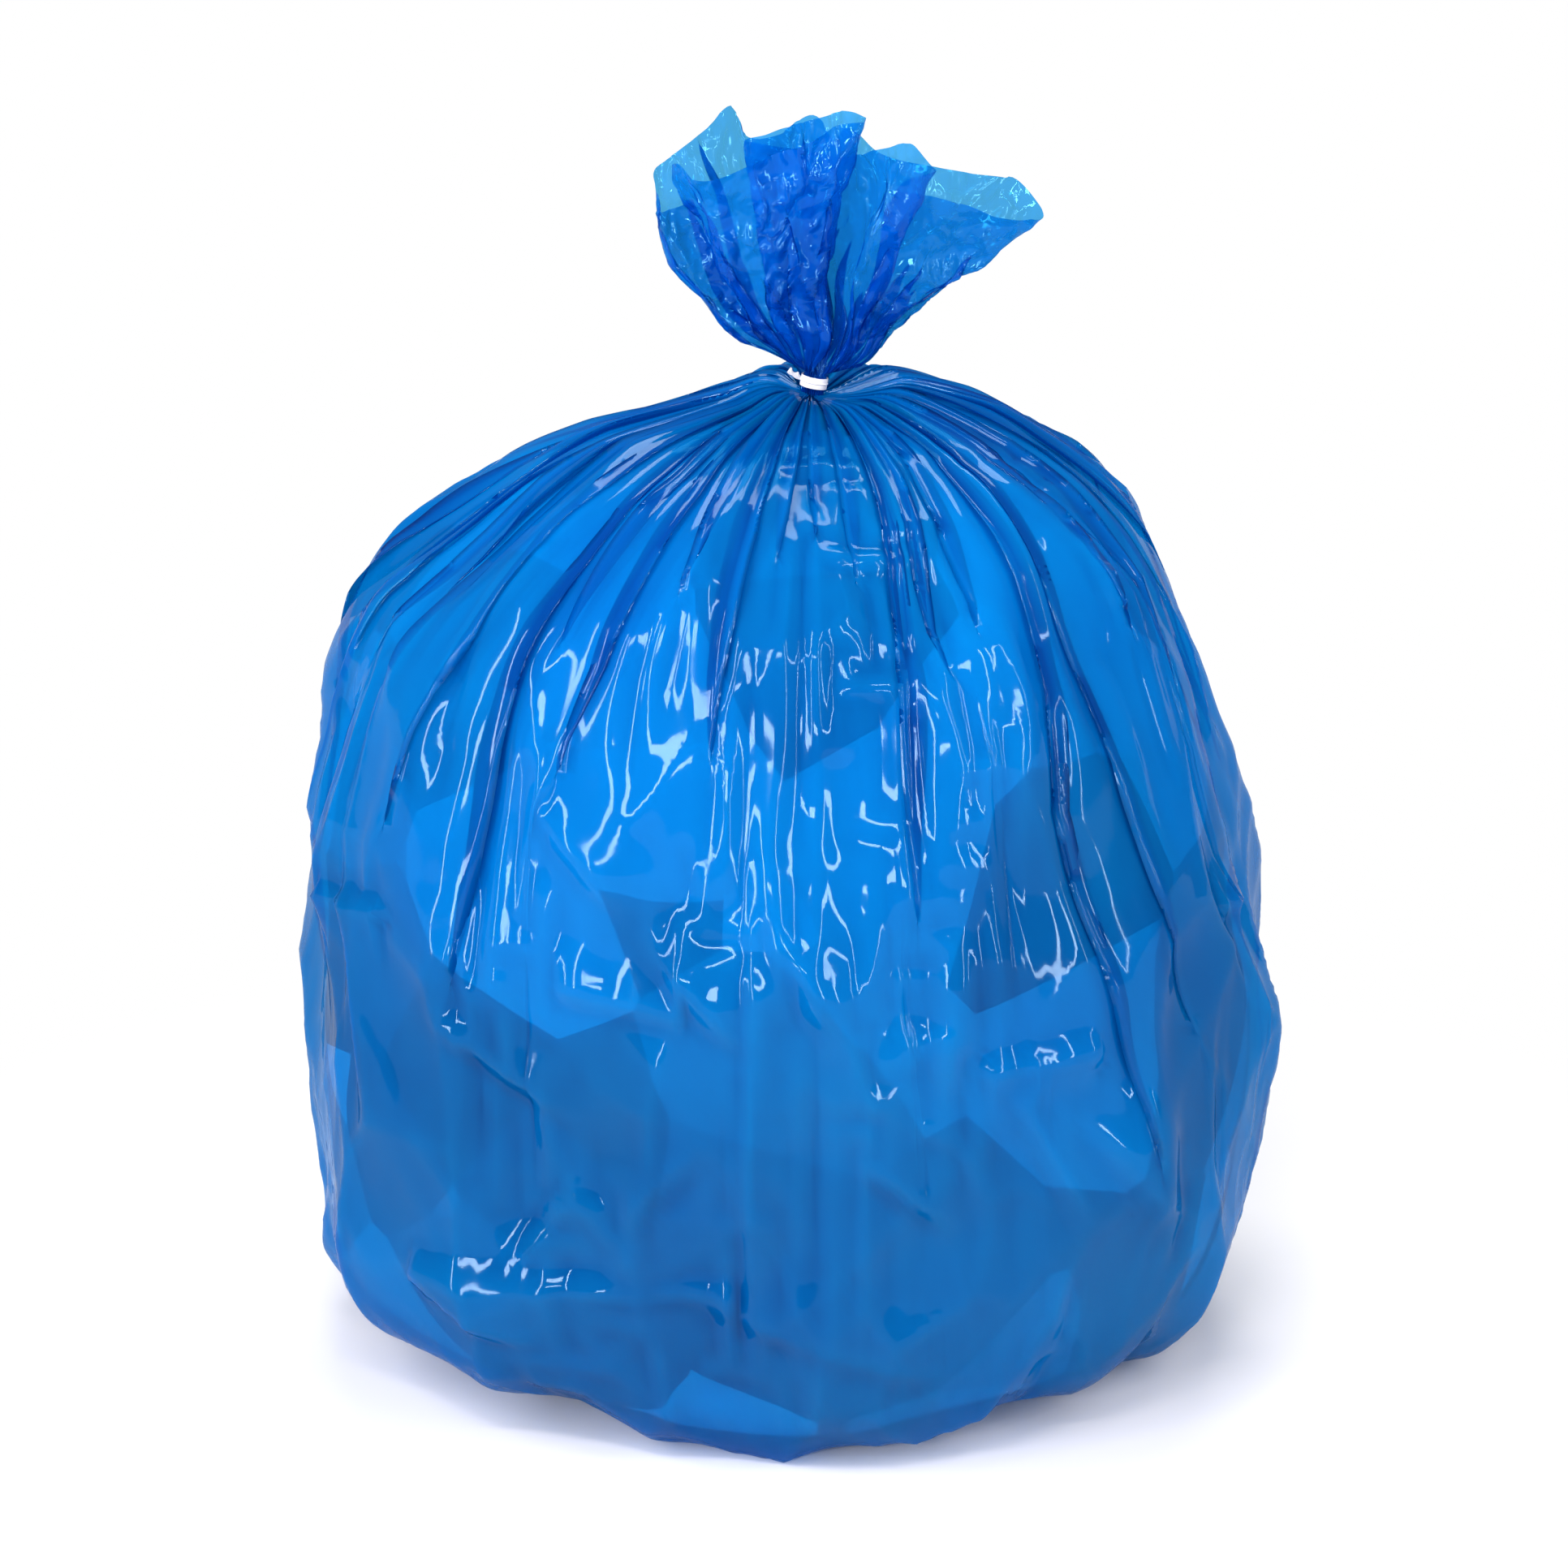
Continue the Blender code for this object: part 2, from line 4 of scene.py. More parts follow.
import bpy
import numpy as np
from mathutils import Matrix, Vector


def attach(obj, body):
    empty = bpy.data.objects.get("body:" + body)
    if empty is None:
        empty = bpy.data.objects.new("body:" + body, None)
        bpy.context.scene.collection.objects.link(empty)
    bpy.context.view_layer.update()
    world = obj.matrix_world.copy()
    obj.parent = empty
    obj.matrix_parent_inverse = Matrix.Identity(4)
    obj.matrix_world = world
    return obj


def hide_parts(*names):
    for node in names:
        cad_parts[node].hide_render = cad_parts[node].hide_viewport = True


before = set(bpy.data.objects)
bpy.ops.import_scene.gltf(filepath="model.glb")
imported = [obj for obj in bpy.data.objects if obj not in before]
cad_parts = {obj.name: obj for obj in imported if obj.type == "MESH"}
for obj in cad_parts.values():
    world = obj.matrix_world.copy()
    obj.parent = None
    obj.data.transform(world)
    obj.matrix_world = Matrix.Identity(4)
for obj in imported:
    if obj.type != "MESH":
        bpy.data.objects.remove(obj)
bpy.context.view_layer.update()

# The neck's axis and size, as in the CAD model.
NECK_X, NECK_Y = 0.01190, 0.00141
NECK_RADIUS, NECK_BASE, NECK_LENGTH = 0.0060, 0.5015, 0.0100
NECK_MIDDLE = NECK_BASE + NECK_LENGTH / 2
NECK_LEAN, LEAN_FADE = math.radians(11), 0.030

# Outlines of the body from the foot up: (reach, share of the neck's height).
RIGHT_SIDE = [
    (0.146, 0.000), (0.198, 0.050), (0.225, 0.122), (0.236, 0.265), (0.232, 0.443),
    (0.216, 0.602), (0.189, 0.760), (0.157, 0.888), (0.109, 0.968), (0.051, 1.010),
]
BACK_SIDE = [
    (0.140, 0.000), (0.195, 0.028), (0.226, 0.120), (0.238, 0.279), (0.240, 0.459),
    (0.232, 0.658), (0.208, 0.808), (0.163, 0.893), (0.105, 0.953), (0.050, 1.010),
]
LEFT_SIDE = [
    (0.174, 0.000), (0.229, 0.054), (0.259, 0.110), (0.264, 0.259), (0.263, 0.445),
    (0.256, 0.642), (0.231, 0.786), (0.172, 0.894), (0.111, 0.963), (0.047, 0.996),
]
FRONT_SIDE = [
    (0.133, 0.000), (0.188, 0.008), (0.223, 0.110), (0.237, 0.273), (0.239, 0.455),
    (0.228, 0.646), (0.205, 0.806), (0.160, 0.907), (0.105, 0.967), (0.050, 0.997),
]
SIDES = [np.array(side + [(NECK_RADIUS, 1.0)]) * (1.0, NECK_BASE) for side in
         (RIGHT_SIDE, BACK_SIDE, LEFT_SIDE, FRONT_SIDE)]
SQUARENESS = 2.15       # 2 is a round section, more is squarer
NECK_PLACE = len(RIGHT_SIDE)

# Grid of the body's film: columns run round, rows from the neck to the middle of the base.
COLUMNS = 496
SIDE_ROWS = 182
BASE_ROWS = 16

# Knife pleats of the front: (overlap, hand, [(degrees from +X, height) down to the tip]).
# The overlapping layer ends towards larger angles where hand is 1.
FRONT_PLEATS = [
    (0.008, 1, [(194, 0.49), (195, 0.43), (194, 0.36)]),
    (0.009, -1, [(200, 0.49), (202, 0.43), (200, 0.365)]),
    (0.008, 1, [(206, 0.49), (208, 0.45), (205, 0.376)]),
    (0.009, -1, [(212, 0.49), (213, 0.46), (209, 0.42), (207, 0.36)]),
    (0.009, 1, [(222, 0.47), (220, 0.41), (216, 0.36), (212.5, 0.28)]),
    (0.014, 1, [(231, 0.46), (229, 0.39), (228, 0.36), (227.5, 0.31), (226, 0.21)]),
    (0.008, -1, [(237, 0.48), (235, 0.44), (234, 0.39)]),
    (0.011, 1, [(243, 0.47), (241, 0.40), (238.5, 0.37), (237, 0.325)]),
    (0.008, -1, [(250, 0.48), (250, 0.45), (249, 0.415)]),
    (0.013, 1, [(257, 0.48), (256.5, 0.44), (256.5, 0.40), (257.5, 0.34)]),
    (0.008, 1, [(263, 0.48), (263.5, 0.44)]),
    (0.007, -1, [(270, 0.48), (270, 0.45)]),
    (0.009, -1, [(278, 0.48), (276.5, 0.43)]),
    (0.014, -1, [(285.5, 0.48), (283, 0.42), (282, 0.33), (282, 0.255)]),
    (0.009, 1, [(290, 0.48), (287, 0.42), (289.5, 0.38)]),
    (0.010, 1, [(296, 0.48), (294.5, 0.43), (292.5, 0.40)]),
    (0.013, -1, [(305, 0.48), (305, 0.44), (301.5, 0.34), (305, 0.28), (310, 0.19),
                 (313, 0.11)]),
    (0.012, -1, [(311, 0.48), (310, 0.42), (312, 0.36), (317, 0.27), (325, 0.17)]),
    (0.009, 1, [(319, 0.48), (324, 0.44), (325, 0.39)]),
    (0.007, -1, [(327, 0.48), (329, 0.43)]),
    (0.010, 1, [(336, 0.48), (333, 0.43), (332.5, 0.36)]),
    (0.008, -1, [(345, 0.48), (345, 0.40)]),
]
HIDDEN_PLEATS = 20
HIDDEN_TIPS = (0.40, 0.30, 0.43, 0.17, 0.36)
PLEAT_HALF = 2          # columns on each side of a pleat's middle that turn back
PLEAT_LEAD = 5          # columns over which the upper layer rises to the fold
PLEAT_SINK = 0.0045     # depth of the valley along a pleat
FULL_OVERLAP = 0.0125   # overlap at which that valley has its full depth
LAYER_GAP = 0.0011
FULLNESS = -0.0006      # how far the slack film stands off the outlines, on the whole

# Ridges pulled across the body: (degrees, height) twice, height and half width in metres.
# Seen from the start they fall steeply on the right and gently on the left.
RIDGES = [
    ((236, 0.340), (249, 0.289), 0.0070, 0.016), ((249, 0.289), (263, 0.228), 0.0095, 0.020),
    ((285.5, 0.292), (285, 0.200), 0.0095, 0.020), ((266, 0.295), (272, 0.236), 0.0080, 0.018),
    ((263, 0.345), (262, 0.020), 0.0040, 0.012), ((246, 0.130), (258, 0.190), 0.0060, 0.022),
    ((300, 0.200), (318, 0.110), 0.0065, 0.022), ((205, 0.300), (213, 0.150), 0.0060, 0.018),
    ((214, 0.100), (240, 0.068), 0.0070, 0.018), ((250, 0.110), (290, 0.060), 0.0060, 0.022),
    ((330, 0.330), (340, 0.160), 0.0060, 0.018), ((20, 0.350), (34, 0.180), 0.0060, 0.018),
    ((75, 0.330), (60, 0.170), 0.0065, 0.018), ((110, 0.300), (124, 0.140), 0.0060, 0.018),
    ((160, 0.350), (150, 0.190), 0.0065, 0.018), ((40, 0.120), (80, 0.080), 0.0060, 0.020),
    ((222, 0.235), (243, 0.185), 0.0060, 0.016), ((292, 0.215), (305, 0.120), 0.0065, 0.018),
    ((274, 0.180), (288, 0.130), 0.0060, 0.016), ((243, 0.165), (232, 0.095), 0.0055, 0.016),
]

# Dents between the things inside: (degrees, height, size, depth).
DENTS = [
    (248, 0.26, 0.040, 0.0060), (275, 0.34, 0.035, 0.0050), (300, 0.30, 0.035, 0.0050),
    (235, 0.16, 0.050, 0.0060), (270, 0.12, 0.050, 0.0040), (318, 0.24, 0.040, 0.0060),
    (210, 0.22, 0.050, 0.0070), (340, 0.26, 0.050, 0.0060), (290, 0.16, 0.045, 0.0050),
    (255, 0.40, 0.030, 0.0040), (325, 0.10, 0.040, 0.0050), (20, 0.20, 0.050, 0.0070),
    (45, 0.33, 0.045, 0.0060), (70, 0.22, 0.050, 0.0070), (95, 0.12, 0.050, 0.0060),
    (115, 0.34, 0.045, 0.0060), (140, 0.24, 0.050, 0.0070), (165, 0.14, 0.050, 0.0060),
    (185, 0.32, 0.045, 0.0060), (55, 0.08, 0.040, 0.0050), (292, 0.01, 0.048, 0.0120),
]

# Loose folds: (turns, turns for each metre up, wander, share of the rise).
LOOSE_FOLDS = [(3.5, 11.0, 0.9, 1.0), (5.0, -16.0, 1.1, 0.6), (9.5, 27.0, 0.8, 0.35)]
LOOSE_RISE = 0.0042
TUCK_ANGLES = (211, 232, 297, 322, 40, 128)
TUCK_DEPTH, TUCK_HEIGHT, TUCK_WIDTH = 0.0070, 0.060, math.radians(6)

# Smaller forms of the body: upright folds as (height, cells of noise), and panels between
# sharp ridges as size and height, the small ones only where the film crumples.
UPRIGHT_FOLDS = [(0.0040, (5, 22)), (0.0008, (7, 60))]
PANEL_SIZE, PANEL_HEIGHT = 0.046, 0.0090
FACET_SIZE, FACET_HEIGHT = 0.022, 0.0016
CRUMPLE_ROUND, CRUMPLE_DOWN = 0.026, 0.050      # reach of crumpled film from a pleat's tip

# Slack film, coarse and then fine: waves to start from as (cells of noise, height), excess
# length round and down as shares (everywhere, in loose patches, where it crumples), and how
# far it may move in, out and along as (at least, more where it is free).
COARSE_GRID = (76, 168)
COARSE_WAVES = [((7, 26), 0.0030), ((15, 44), 0.0020)]
COARSE_SLACK = (0.004, 0.012, 0.040), (0.001, 0.003, 0.008)
COARSE_LIMITS = (1e-6, 0.0080), (1e-6, 0.0020), (1e-6, 0.0040)
BODY_WAVES = [((24, 80), 0.0008)]
BODY_SLACK = (0.001, 0.007, 0.014), (0.0003, 0.001, 0.003)
BODY_LIMITS = (0.0005, 0.0030), (0.0003, 0.0010), (0.0002, 0.0030)
COARSE_STEPS, BODY_STEPS, MOUTH_STEPS, QUICK_STEPS = 300, 200, 240, 60
BODY_SEED, MOUTH_SEED, CONTENTS_SEED = 5, 8, 3

# Rim of the open mouth, in order round it from the front left: places from the neck's middle.
RIM = [
    (-0.065, -0.018, 0.113), (-0.050, -0.030, 0.109), (-0.030, -0.036, 0.114),
    (-0.010, -0.037, 0.122), (0.010, -0.032, 0.131), (0.0225, -0.022, 0.134),
    (0.016, -0.013, 0.1375), (-0.005, -0.007, 0.131), (-0.031, -0.003, 0.1235),
    (-0.033, 0.003, 0.120), (-0.010, 0.002, 0.117), (0.012, -0.004, 0.114),
    (0.026, -0.020, 0.118), (0.036, -0.037, 0.1235), (0.048, -0.040, 0.1255),
    (0.054, -0.034, 0.113), (0.040, -0.014, 0.100), (0.063, -0.018, 0.097),
    (0.091, -0.008, 0.087), (0.112, 0.005, 0.085), (0.101, 0.022, 0.099),
    (0.079, 0.032, 0.101), (0.056, 0.036, 0.1035), (0.036, 0.038, 0.109),
    (0.021, 0.036, 0.122), (0.010, 0.026, 0.116), (-0.002, 0.037, 0.129),
    (-0.016, 0.034, 0.120), (-0.032, 0.030, 0.119), (-0.041, 0.030, 0.134),
    (-0.057, 0.022, 0.1235), (-0.083, 0.004, 0.104), (-0.080, -0.010, 0.087),
    (-0.060, 0.000, 0.094),
]
RIM_START = math.radians(197)
MOUTH_COLUMNS = 480
MOUTH_ROWS = 110
SLEEVE_ROWS = 8         # rows inside the tie
SLEEVE_LENGTH = 1.2 * NECK_LENGTH
MOUTH_PLEATS = 30
MOUTH_GAP = 0.0008      # between the layers of a pleat
MOUTH_HEIGHT = 0.125
RIM_RUN = 0.110         # metres of rim for each radian
FLUTES, FLUTE_DEPTH = 17, 0.0060
MOUTH_PANELS = [(0.020, 0.0060), (0.010, 0.0016)]
MOUTH_TILT = 0.8
MOUTH_WAVES = [((9, 60), 0.0018), ((26, 110), 0.0013)]
MOUTH_SLACK = (0.015, 0.060)
MOUTH_LIMITS = (0.0002, 0.0045), (0.0002, 0.0045), (0.0001, 0.0030)

# The lumpy mass inside: its grid, and how deep it lies under the film.
CONTENTS_COLUMNS = 160
CONTENTS_ROWS = np.arange(14, SIDE_ROWS, 2)
CONTENTS_LUMPS = 0.003
CONTENTS_DEPTH, CONTENTS_GAP = 0.0075, 0.0020
CONTENTS_FOOT = 0.003

# Looks of the film. Tones are (darker, lighter) below and above a range of heights; the ones
# below are painted shade, darker where less light falls lower down. Crinkle is the bump's
# (scale, strength, distance) and clear the see-through (share, tint).
GLOW_SHARE = 0.30
BODY_LOOK = {
    "shaded_low_tones": ((0.0, 0.112, 0.39), (0.0, 0.195, 0.53)),
    "lit_high_tones": ((0.0, 0.125, 0.47), (0.0, 0.245, 0.66)),
    "heights": (0.33, 0.46),
    "crinkle": (60.0, 0.12, 0.0010),
    "shine_colour": (0.0085, 0.0135, 0.0165),
    "glow_colour": (0.0, 0.21, 0.58),
    "clear": (0.44, (0.03, 0.54, 0.84)),
}
# The mouth's tones are darker than the body's: painted shade of the dark inside behind its film.
MOUTH_LOOK = {
    "shaded_low_tones": ((0.0, 0.060, 0.46), (0.0, 0.115, 0.60)),
    "lit_high_tones": ((0.0, 0.090, 0.48), (0.0, 0.170, 0.64)),
    "heights": (0.52, 0.62),
    "crinkle": (120.0, 1.00, 0.0055),
    "shine_colour": (0.007, 0.026, 0.036),
    "glow_colour": (0.0, 0.13, 0.58),
    "clear": (0.46, (0.14, 0.72, 0.96)),
}

# Lamps: upright strips as (place, width, power), then the wide ones as (name, place,
# height aimed at, size, power, colour).
WHITE, COOL = (1.0, 1.0, 1.0), (0.97, 0.95, 1.0)
STRIPS = [((-1.50, -0.75, 1.05), 0.11, 20), ((-1.05, -1.35, 1.05), 0.12, 23),
          ((1.10, -1.20, 1.05), 0.08, 15), ((1.50, -0.70, 1.05), 0.06, 10)]
STRIP_LENGTH, STRIP_AIM = 1.9, 0.25
WIDE_LAMPS = [
    ("front", (-0.25, -1.55, 2.0), 0.3, (0.8, 0.2), 15, COOL),
    ("low", (-0.35, -1.85, 0.80), 0.2, (0.80, 0.12), 10, COOL),
    ("top", (0.1, 0.75, 1.9), 0.4, (1.3, 0.5), 26, WHITE),
]
WORLD_STRENGTH = 0.19
FLOOR_HALF = 12
FLOOR_FADE = (0.30, 0.62)       # distances over which the shadow gives way to white

# Camera, fitted to the photograph's outline.
CAMERA_RISE, CAMERA_DISTANCE, CAMERA_SPAN = math.radians(16.88), 2.2, 0.815
CAMERA_TARGET = (NECK_X - 0.01517, NECK_Y, 0.2938)
SENSOR_WIDTH = 36.0


def smooth(value):
    value = np.clip(value, 0.0, 1.0)
    return value * value * (3.0 - 2.0 * value)


def wrapped(angle):
    """Angle between minus and plus half a turn."""
    return (angle + math.pi) % (2 * math.pi) - math.pi


def unit(vectors):
    return vectors / np.maximum(np.linalg.norm(vectors, axis=-1, keepdims=True), 1e-9)


def cubic(a, b, c, d, t):
    """Catmull-Rom blend between b and c."""
    return 0.5 * (2 * b + (c - a) * t + (2 * a - 5 * b + 4 * c - d) * t ** 2
                  + (3 * b - a - 3 * c + d) * t ** 3)


def open_curve(points, place):
    """Points of a curve through the given ones; place counts them from 0."""
    padded = np.vstack([2 * points[0] - points[1], points, 2 * points[-1] - points[-2]])
    start = np.clip(np.floor(place).astype(int), 0, len(points) - 2)
    return cubic(*(padded[start + k] for k in range(4)), (place - start)[..., None])


def closed_curve(points, place):
    start = np.floor(place).astype(int)
    ring = [points[(start + k) % len(points)] for k in (-1, 0, 1, 2)]
    return cubic(*ring, (place - start)[..., None])


def body_form(place, angle):
    """Smooth form of the body: positions for a row place each and a grid of angles."""
    sides = [open_curve(side, np.maximum(place, 0.0)) for side in SIDES]
    along, across = np.cos(angle), np.sin(angle)
    x_side = np.where(along[..., None] >= 0, sides[0][:, None], sides[2][:, None])
    y_side = np.where(across[..., None] >= 0, sides[1][:, None], sides[3][:, None])
    reach = ((np.abs(along) / x_side[..., 0]) ** SQUARENESS
             + (np.abs(across) / y_side[..., 0]) ** SQUARENESS) ** (-1 / SQUARENESS)
    height = x_side[..., 1] * along ** 2 + y_side[..., 1] * across ** 2
    reach = reach * (1.0 + np.minimum(place, 0.0) * 0.94)[:, None]
    height = np.where(place[:, None] < 0, 0.0, height)
    return np.stack([reach * along, reach * across, height], -1)


def form_normals(place, angle):
    """Outward normals of the smooth form."""
    up = body_form(np.minimum(place + 0.04, NECK_PLACE), angle) - body_form(place - 0.04, angle)
    around = body_form(place, angle + 0.02) - body_form(place, angle - 0.02)
    return unit(np.cross(around, up))


def lean(points):
    """Tilts the neck about the middle of the tie, fading out above and below."""
    away = points - np.array([0.0, 0.0, NECK_MIDDLE])
    turn = NECK_LEAN * smooth(1.6 - np.linalg.norm(away, axis=-1) / LEAN_FADE)
    x = away[..., 0] * np.cos(turn) + away[..., 2] * np.sin(turn)
    z = -away[..., 0] * np.sin(turn) + away[..., 2] * np.cos(turn)
    return np.stack([x, away[..., 1], z + NECK_MIDDLE], -1)


def place_on_neck(points):
    return lean(points) + np.array([NECK_X, NECK_Y, 0.0])


def row_places():
    """Places of the rows, even along the surface from the neck to the foot, then the base."""
    fine = np.linspace(NECK_PLACE, 0.0, 4000)
    line = body_form(fine, np.tile([[0.8, 2.4, 3.9, 5.5]], (4000, 1)))
    steps = np.linalg.norm(np.diff(line, axis=0), axis=-1).mean(1)
    run = np.concatenate([[0.0], np.cumsum(steps)])
    side = np.interp(np.linspace(0.0, run[-1], SIDE_ROWS), run, fine)
    return np.concatenate([side, np.linspace(0.0, -1.0, BASE_ROWS + 1)[1:]])


def noise_grid(chance, shape, cells):
    """Smooth random field on the grid, closed round the columns; cells are (down, round)."""
    down, around = cells
    knots = chance.normal(size=(down + 3, around))
    rows = np.linspace(0.0, down, shape[0])
    cols = np.linspace(0.0, around, shape[1], endpoint=False)
    i, j = np.floor(rows).astype(int), np.floor(cols).astype(int)
    u, v = (rows - i)[:, None], (cols - j)[None, :]

    def weights(t):
        return ((1 - t) ** 3 / 6, (3 * t ** 3 - 6 * t ** 2 + 4) / 6,
                (-3 * t ** 3 + 3 * t ** 2 + 3 * t + 1) / 6, t ** 3 / 6)

    field = np.zeros(shape)
    for a, wa in enumerate(weights(u)):
        for b, wb in enumerate(weights(v)):
            field += wa * wb * knots[np.minimum(i + a, down + 2)][:, (j + b) % around]
    return field * 1.6


def starting_waves(chance, shape, waves):
    return sum(noise_grid(chance, shape, cells) * tall for cells, tall in waves)


def excess_length(shares, patch, crumple):
    """How much longer than its base the film is, round and down."""
    return [plain + loose * patch + tight * crumple for plain, loose, tight in shares]


def fold_back(columns, centres, turns, spread, period):
    """Positions round a ring whose columns turn back by spread at each centre column."""
    knots = np.stack([centres - PLEAT_HALF, centres + PLEAT_HALF], 1).ravel()
    values = np.stack([turns + spread, turns - spread], 1).ravel()
    knots = np.concatenate([knots[-2:] - columns, knots, knots[:2] + columns])
    values = np.concatenate([values[-2:] - period, values, values[:2] + period])
    return np.interp(np.arange(columns), knots, values)


def layer_rise(columns, centres, hands, fold):
    """How many layers each column lies above the lowest one of its pleat."""
    offset = (np.arange(columns)[None] - centres[:, None] + columns // 2) % columns - columns // 2
    offset = offset * hands[:, None]
    stations = [-PLEAT_HALF - PLEAT_LEAD, -PLEAT_HALF, PLEAT_HALF]
    return (np.interp(offset, stations, [0.0, 2.0, 0.0]) * fold[:, None]).sum(0)


def all_pleats():
    """Every pleat in order round the body: the seen ones, and more of their kind behind."""
    pleats = list(FRONT_PLEATS)
    first, last = FRONT_PLEATS[0][2][0][0], FRONT_PLEATS[-1][2][0][0]
    gap = (360 + first - last) / (HIDDEN_PLEATS + 1)
    for index in range(HIDDEN_PLEATS):
        turn = last + gap * (index + 1) + 2 * math.sin(5 * index)
        sway = 5 * math.sin(3 * index + 1)
        tip = HIDDEN_TIPS[index % len(HIDDEN_TIPS)] + 0.03 * math.sin(2 * index)
        overlap = 0.010 + 0.003 * math.sin(4 * index)
        path = [(turn, 0.48), (turn + 0.4 * sway, (0.48 + tip) / 2), (turn + sway, tip)]
        pleats.append((overlap, 1 if math.sin(7 * index) > 0 else -1, path))
    return pleats


def surface_distance(run, height, side, angle, reach, turn_and_height):
    """Offsets round and down the surface from a place to every point of the grid."""
    turn, level = turn_and_height
    row = np.abs(np.where(side, height, 9.0) - level).argmin()
    around = wrapped(angle - math.radians(turn))
    return around * reach[:, None], (run - run[row])[:, None] * np.ones_like(angle)


def ridge_field(run, height, side, angle, reach):
    """Height of the ridges that run across the body, sharp along their tops."""
    field = np.zeros_like(angle)
    for start, end, tall, wide in RIDGES:
        ax, ay = surface_distance(run, height, side, angle, reach, start)
        bx, by = surface_distance(run, height, side, angle, reach, end)
        lx, ly = ax - bx, ay - by
        share = np.clip((ax * lx + ay * ly) / (lx * lx + ly * ly), 0.0, 1.0)
        away = np.hypot(ax - share * lx, ay - share * ly)
        away = away / (wide * np.where(lx * ay > ly * ax, 0.60, 1.7))
        taper = smooth(2.5 * share) * smooth(2.5 * (1.0 - share))
        field += tall * taper * np.clip(1.0 - away, 0.0, 1.0) ** 1.4
    return field


def hollows(run, height, side, angle, reach):
    """Depth of the dents, and of the tucks that run up from the edge of the base."""
    field = np.zeros_like(angle)
    for turn, level, size, deep in DENTS:
        x, y = surface_distance(run, height, side, angle, reach, (turn, level))
        field += deep * np.exp(-(x / size) ** 2 - (y / size) ** 2)
    fade = smooth(height / (0.3 * TUCK_HEIGHT)) * smooth(1.0 - height / TUCK_HEIGHT)
    for tuck in TUCK_ANGLES:
        turn = wrapped(angle - math.radians(tuck))
        field += TUCK_DEPTH * fade[:, None] * np.exp(-(turn / TUCK_WIDTH) ** 2)
    return field * side[:, None]


def panels(chance, run, angle, reach, end, size, tall, tilt=0.30):
    """Panels between sharp ridges: the lowest of many shallow, tilted bowls."""
    field = np.full(angle.shape, 1.0)
    for level in np.arange(0.02, end, 1.1 * size):
        share = level / end
        around = np.interp(level, run, reach)
        longer = 3.2 - 2.0 * share
        number = max(7, int(2 * math.pi * around / (size * longer)))
        for index in range(number):
            turn = 2 * math.pi * (index + chance.uniform(0.0, 1.0)) / number
            row = level + chance.uniform(-0.6, 0.6) * size
            slant = chance.normal(0.0, 0.10 + 0.35 * share)
            x_tilt, y_tilt = chance.normal(0.0, tilt, 2)
            x = wrapped(angle - turn) * reach[:, None] / size
            y = (run - row)[:, None] / size * np.ones_like(x)
            across = x * math.cos(slant) + y * math.sin(slant)
            along = (y * math.cos(slant) - x * math.sin(slant)) / longer
            bowl = across ** 2 + along ** 2 + x_tilt * across + y_tilt * along
            field = np.minimum(field, bowl)
    return tall * (field - 0.16)


def tension_folds(chance, angle, height):
    """Sharp-topped folds: upright ones below the neck, loose wandering ones lower down."""
    upright = sum(tall * (0.40 - np.abs(noise_grid(chance, angle.shape, cells)))
                  for tall, cells in UPRIGHT_FOLDS)
    loose = np.zeros_like(angle)
    for turns, climb, wander, share in LOOSE_FOLDS:
        sway = wander * np.sin(2 * angle + climb * height + turns)
        loose += share * (0.64 - np.abs(np.sin(turns * angle + climb * height + sway)))
    upper = smooth((height - 0.20) / 0.16)
    return upright * upper + LOOSE_RISE * loose * (1.0 - 0.7 * upper)


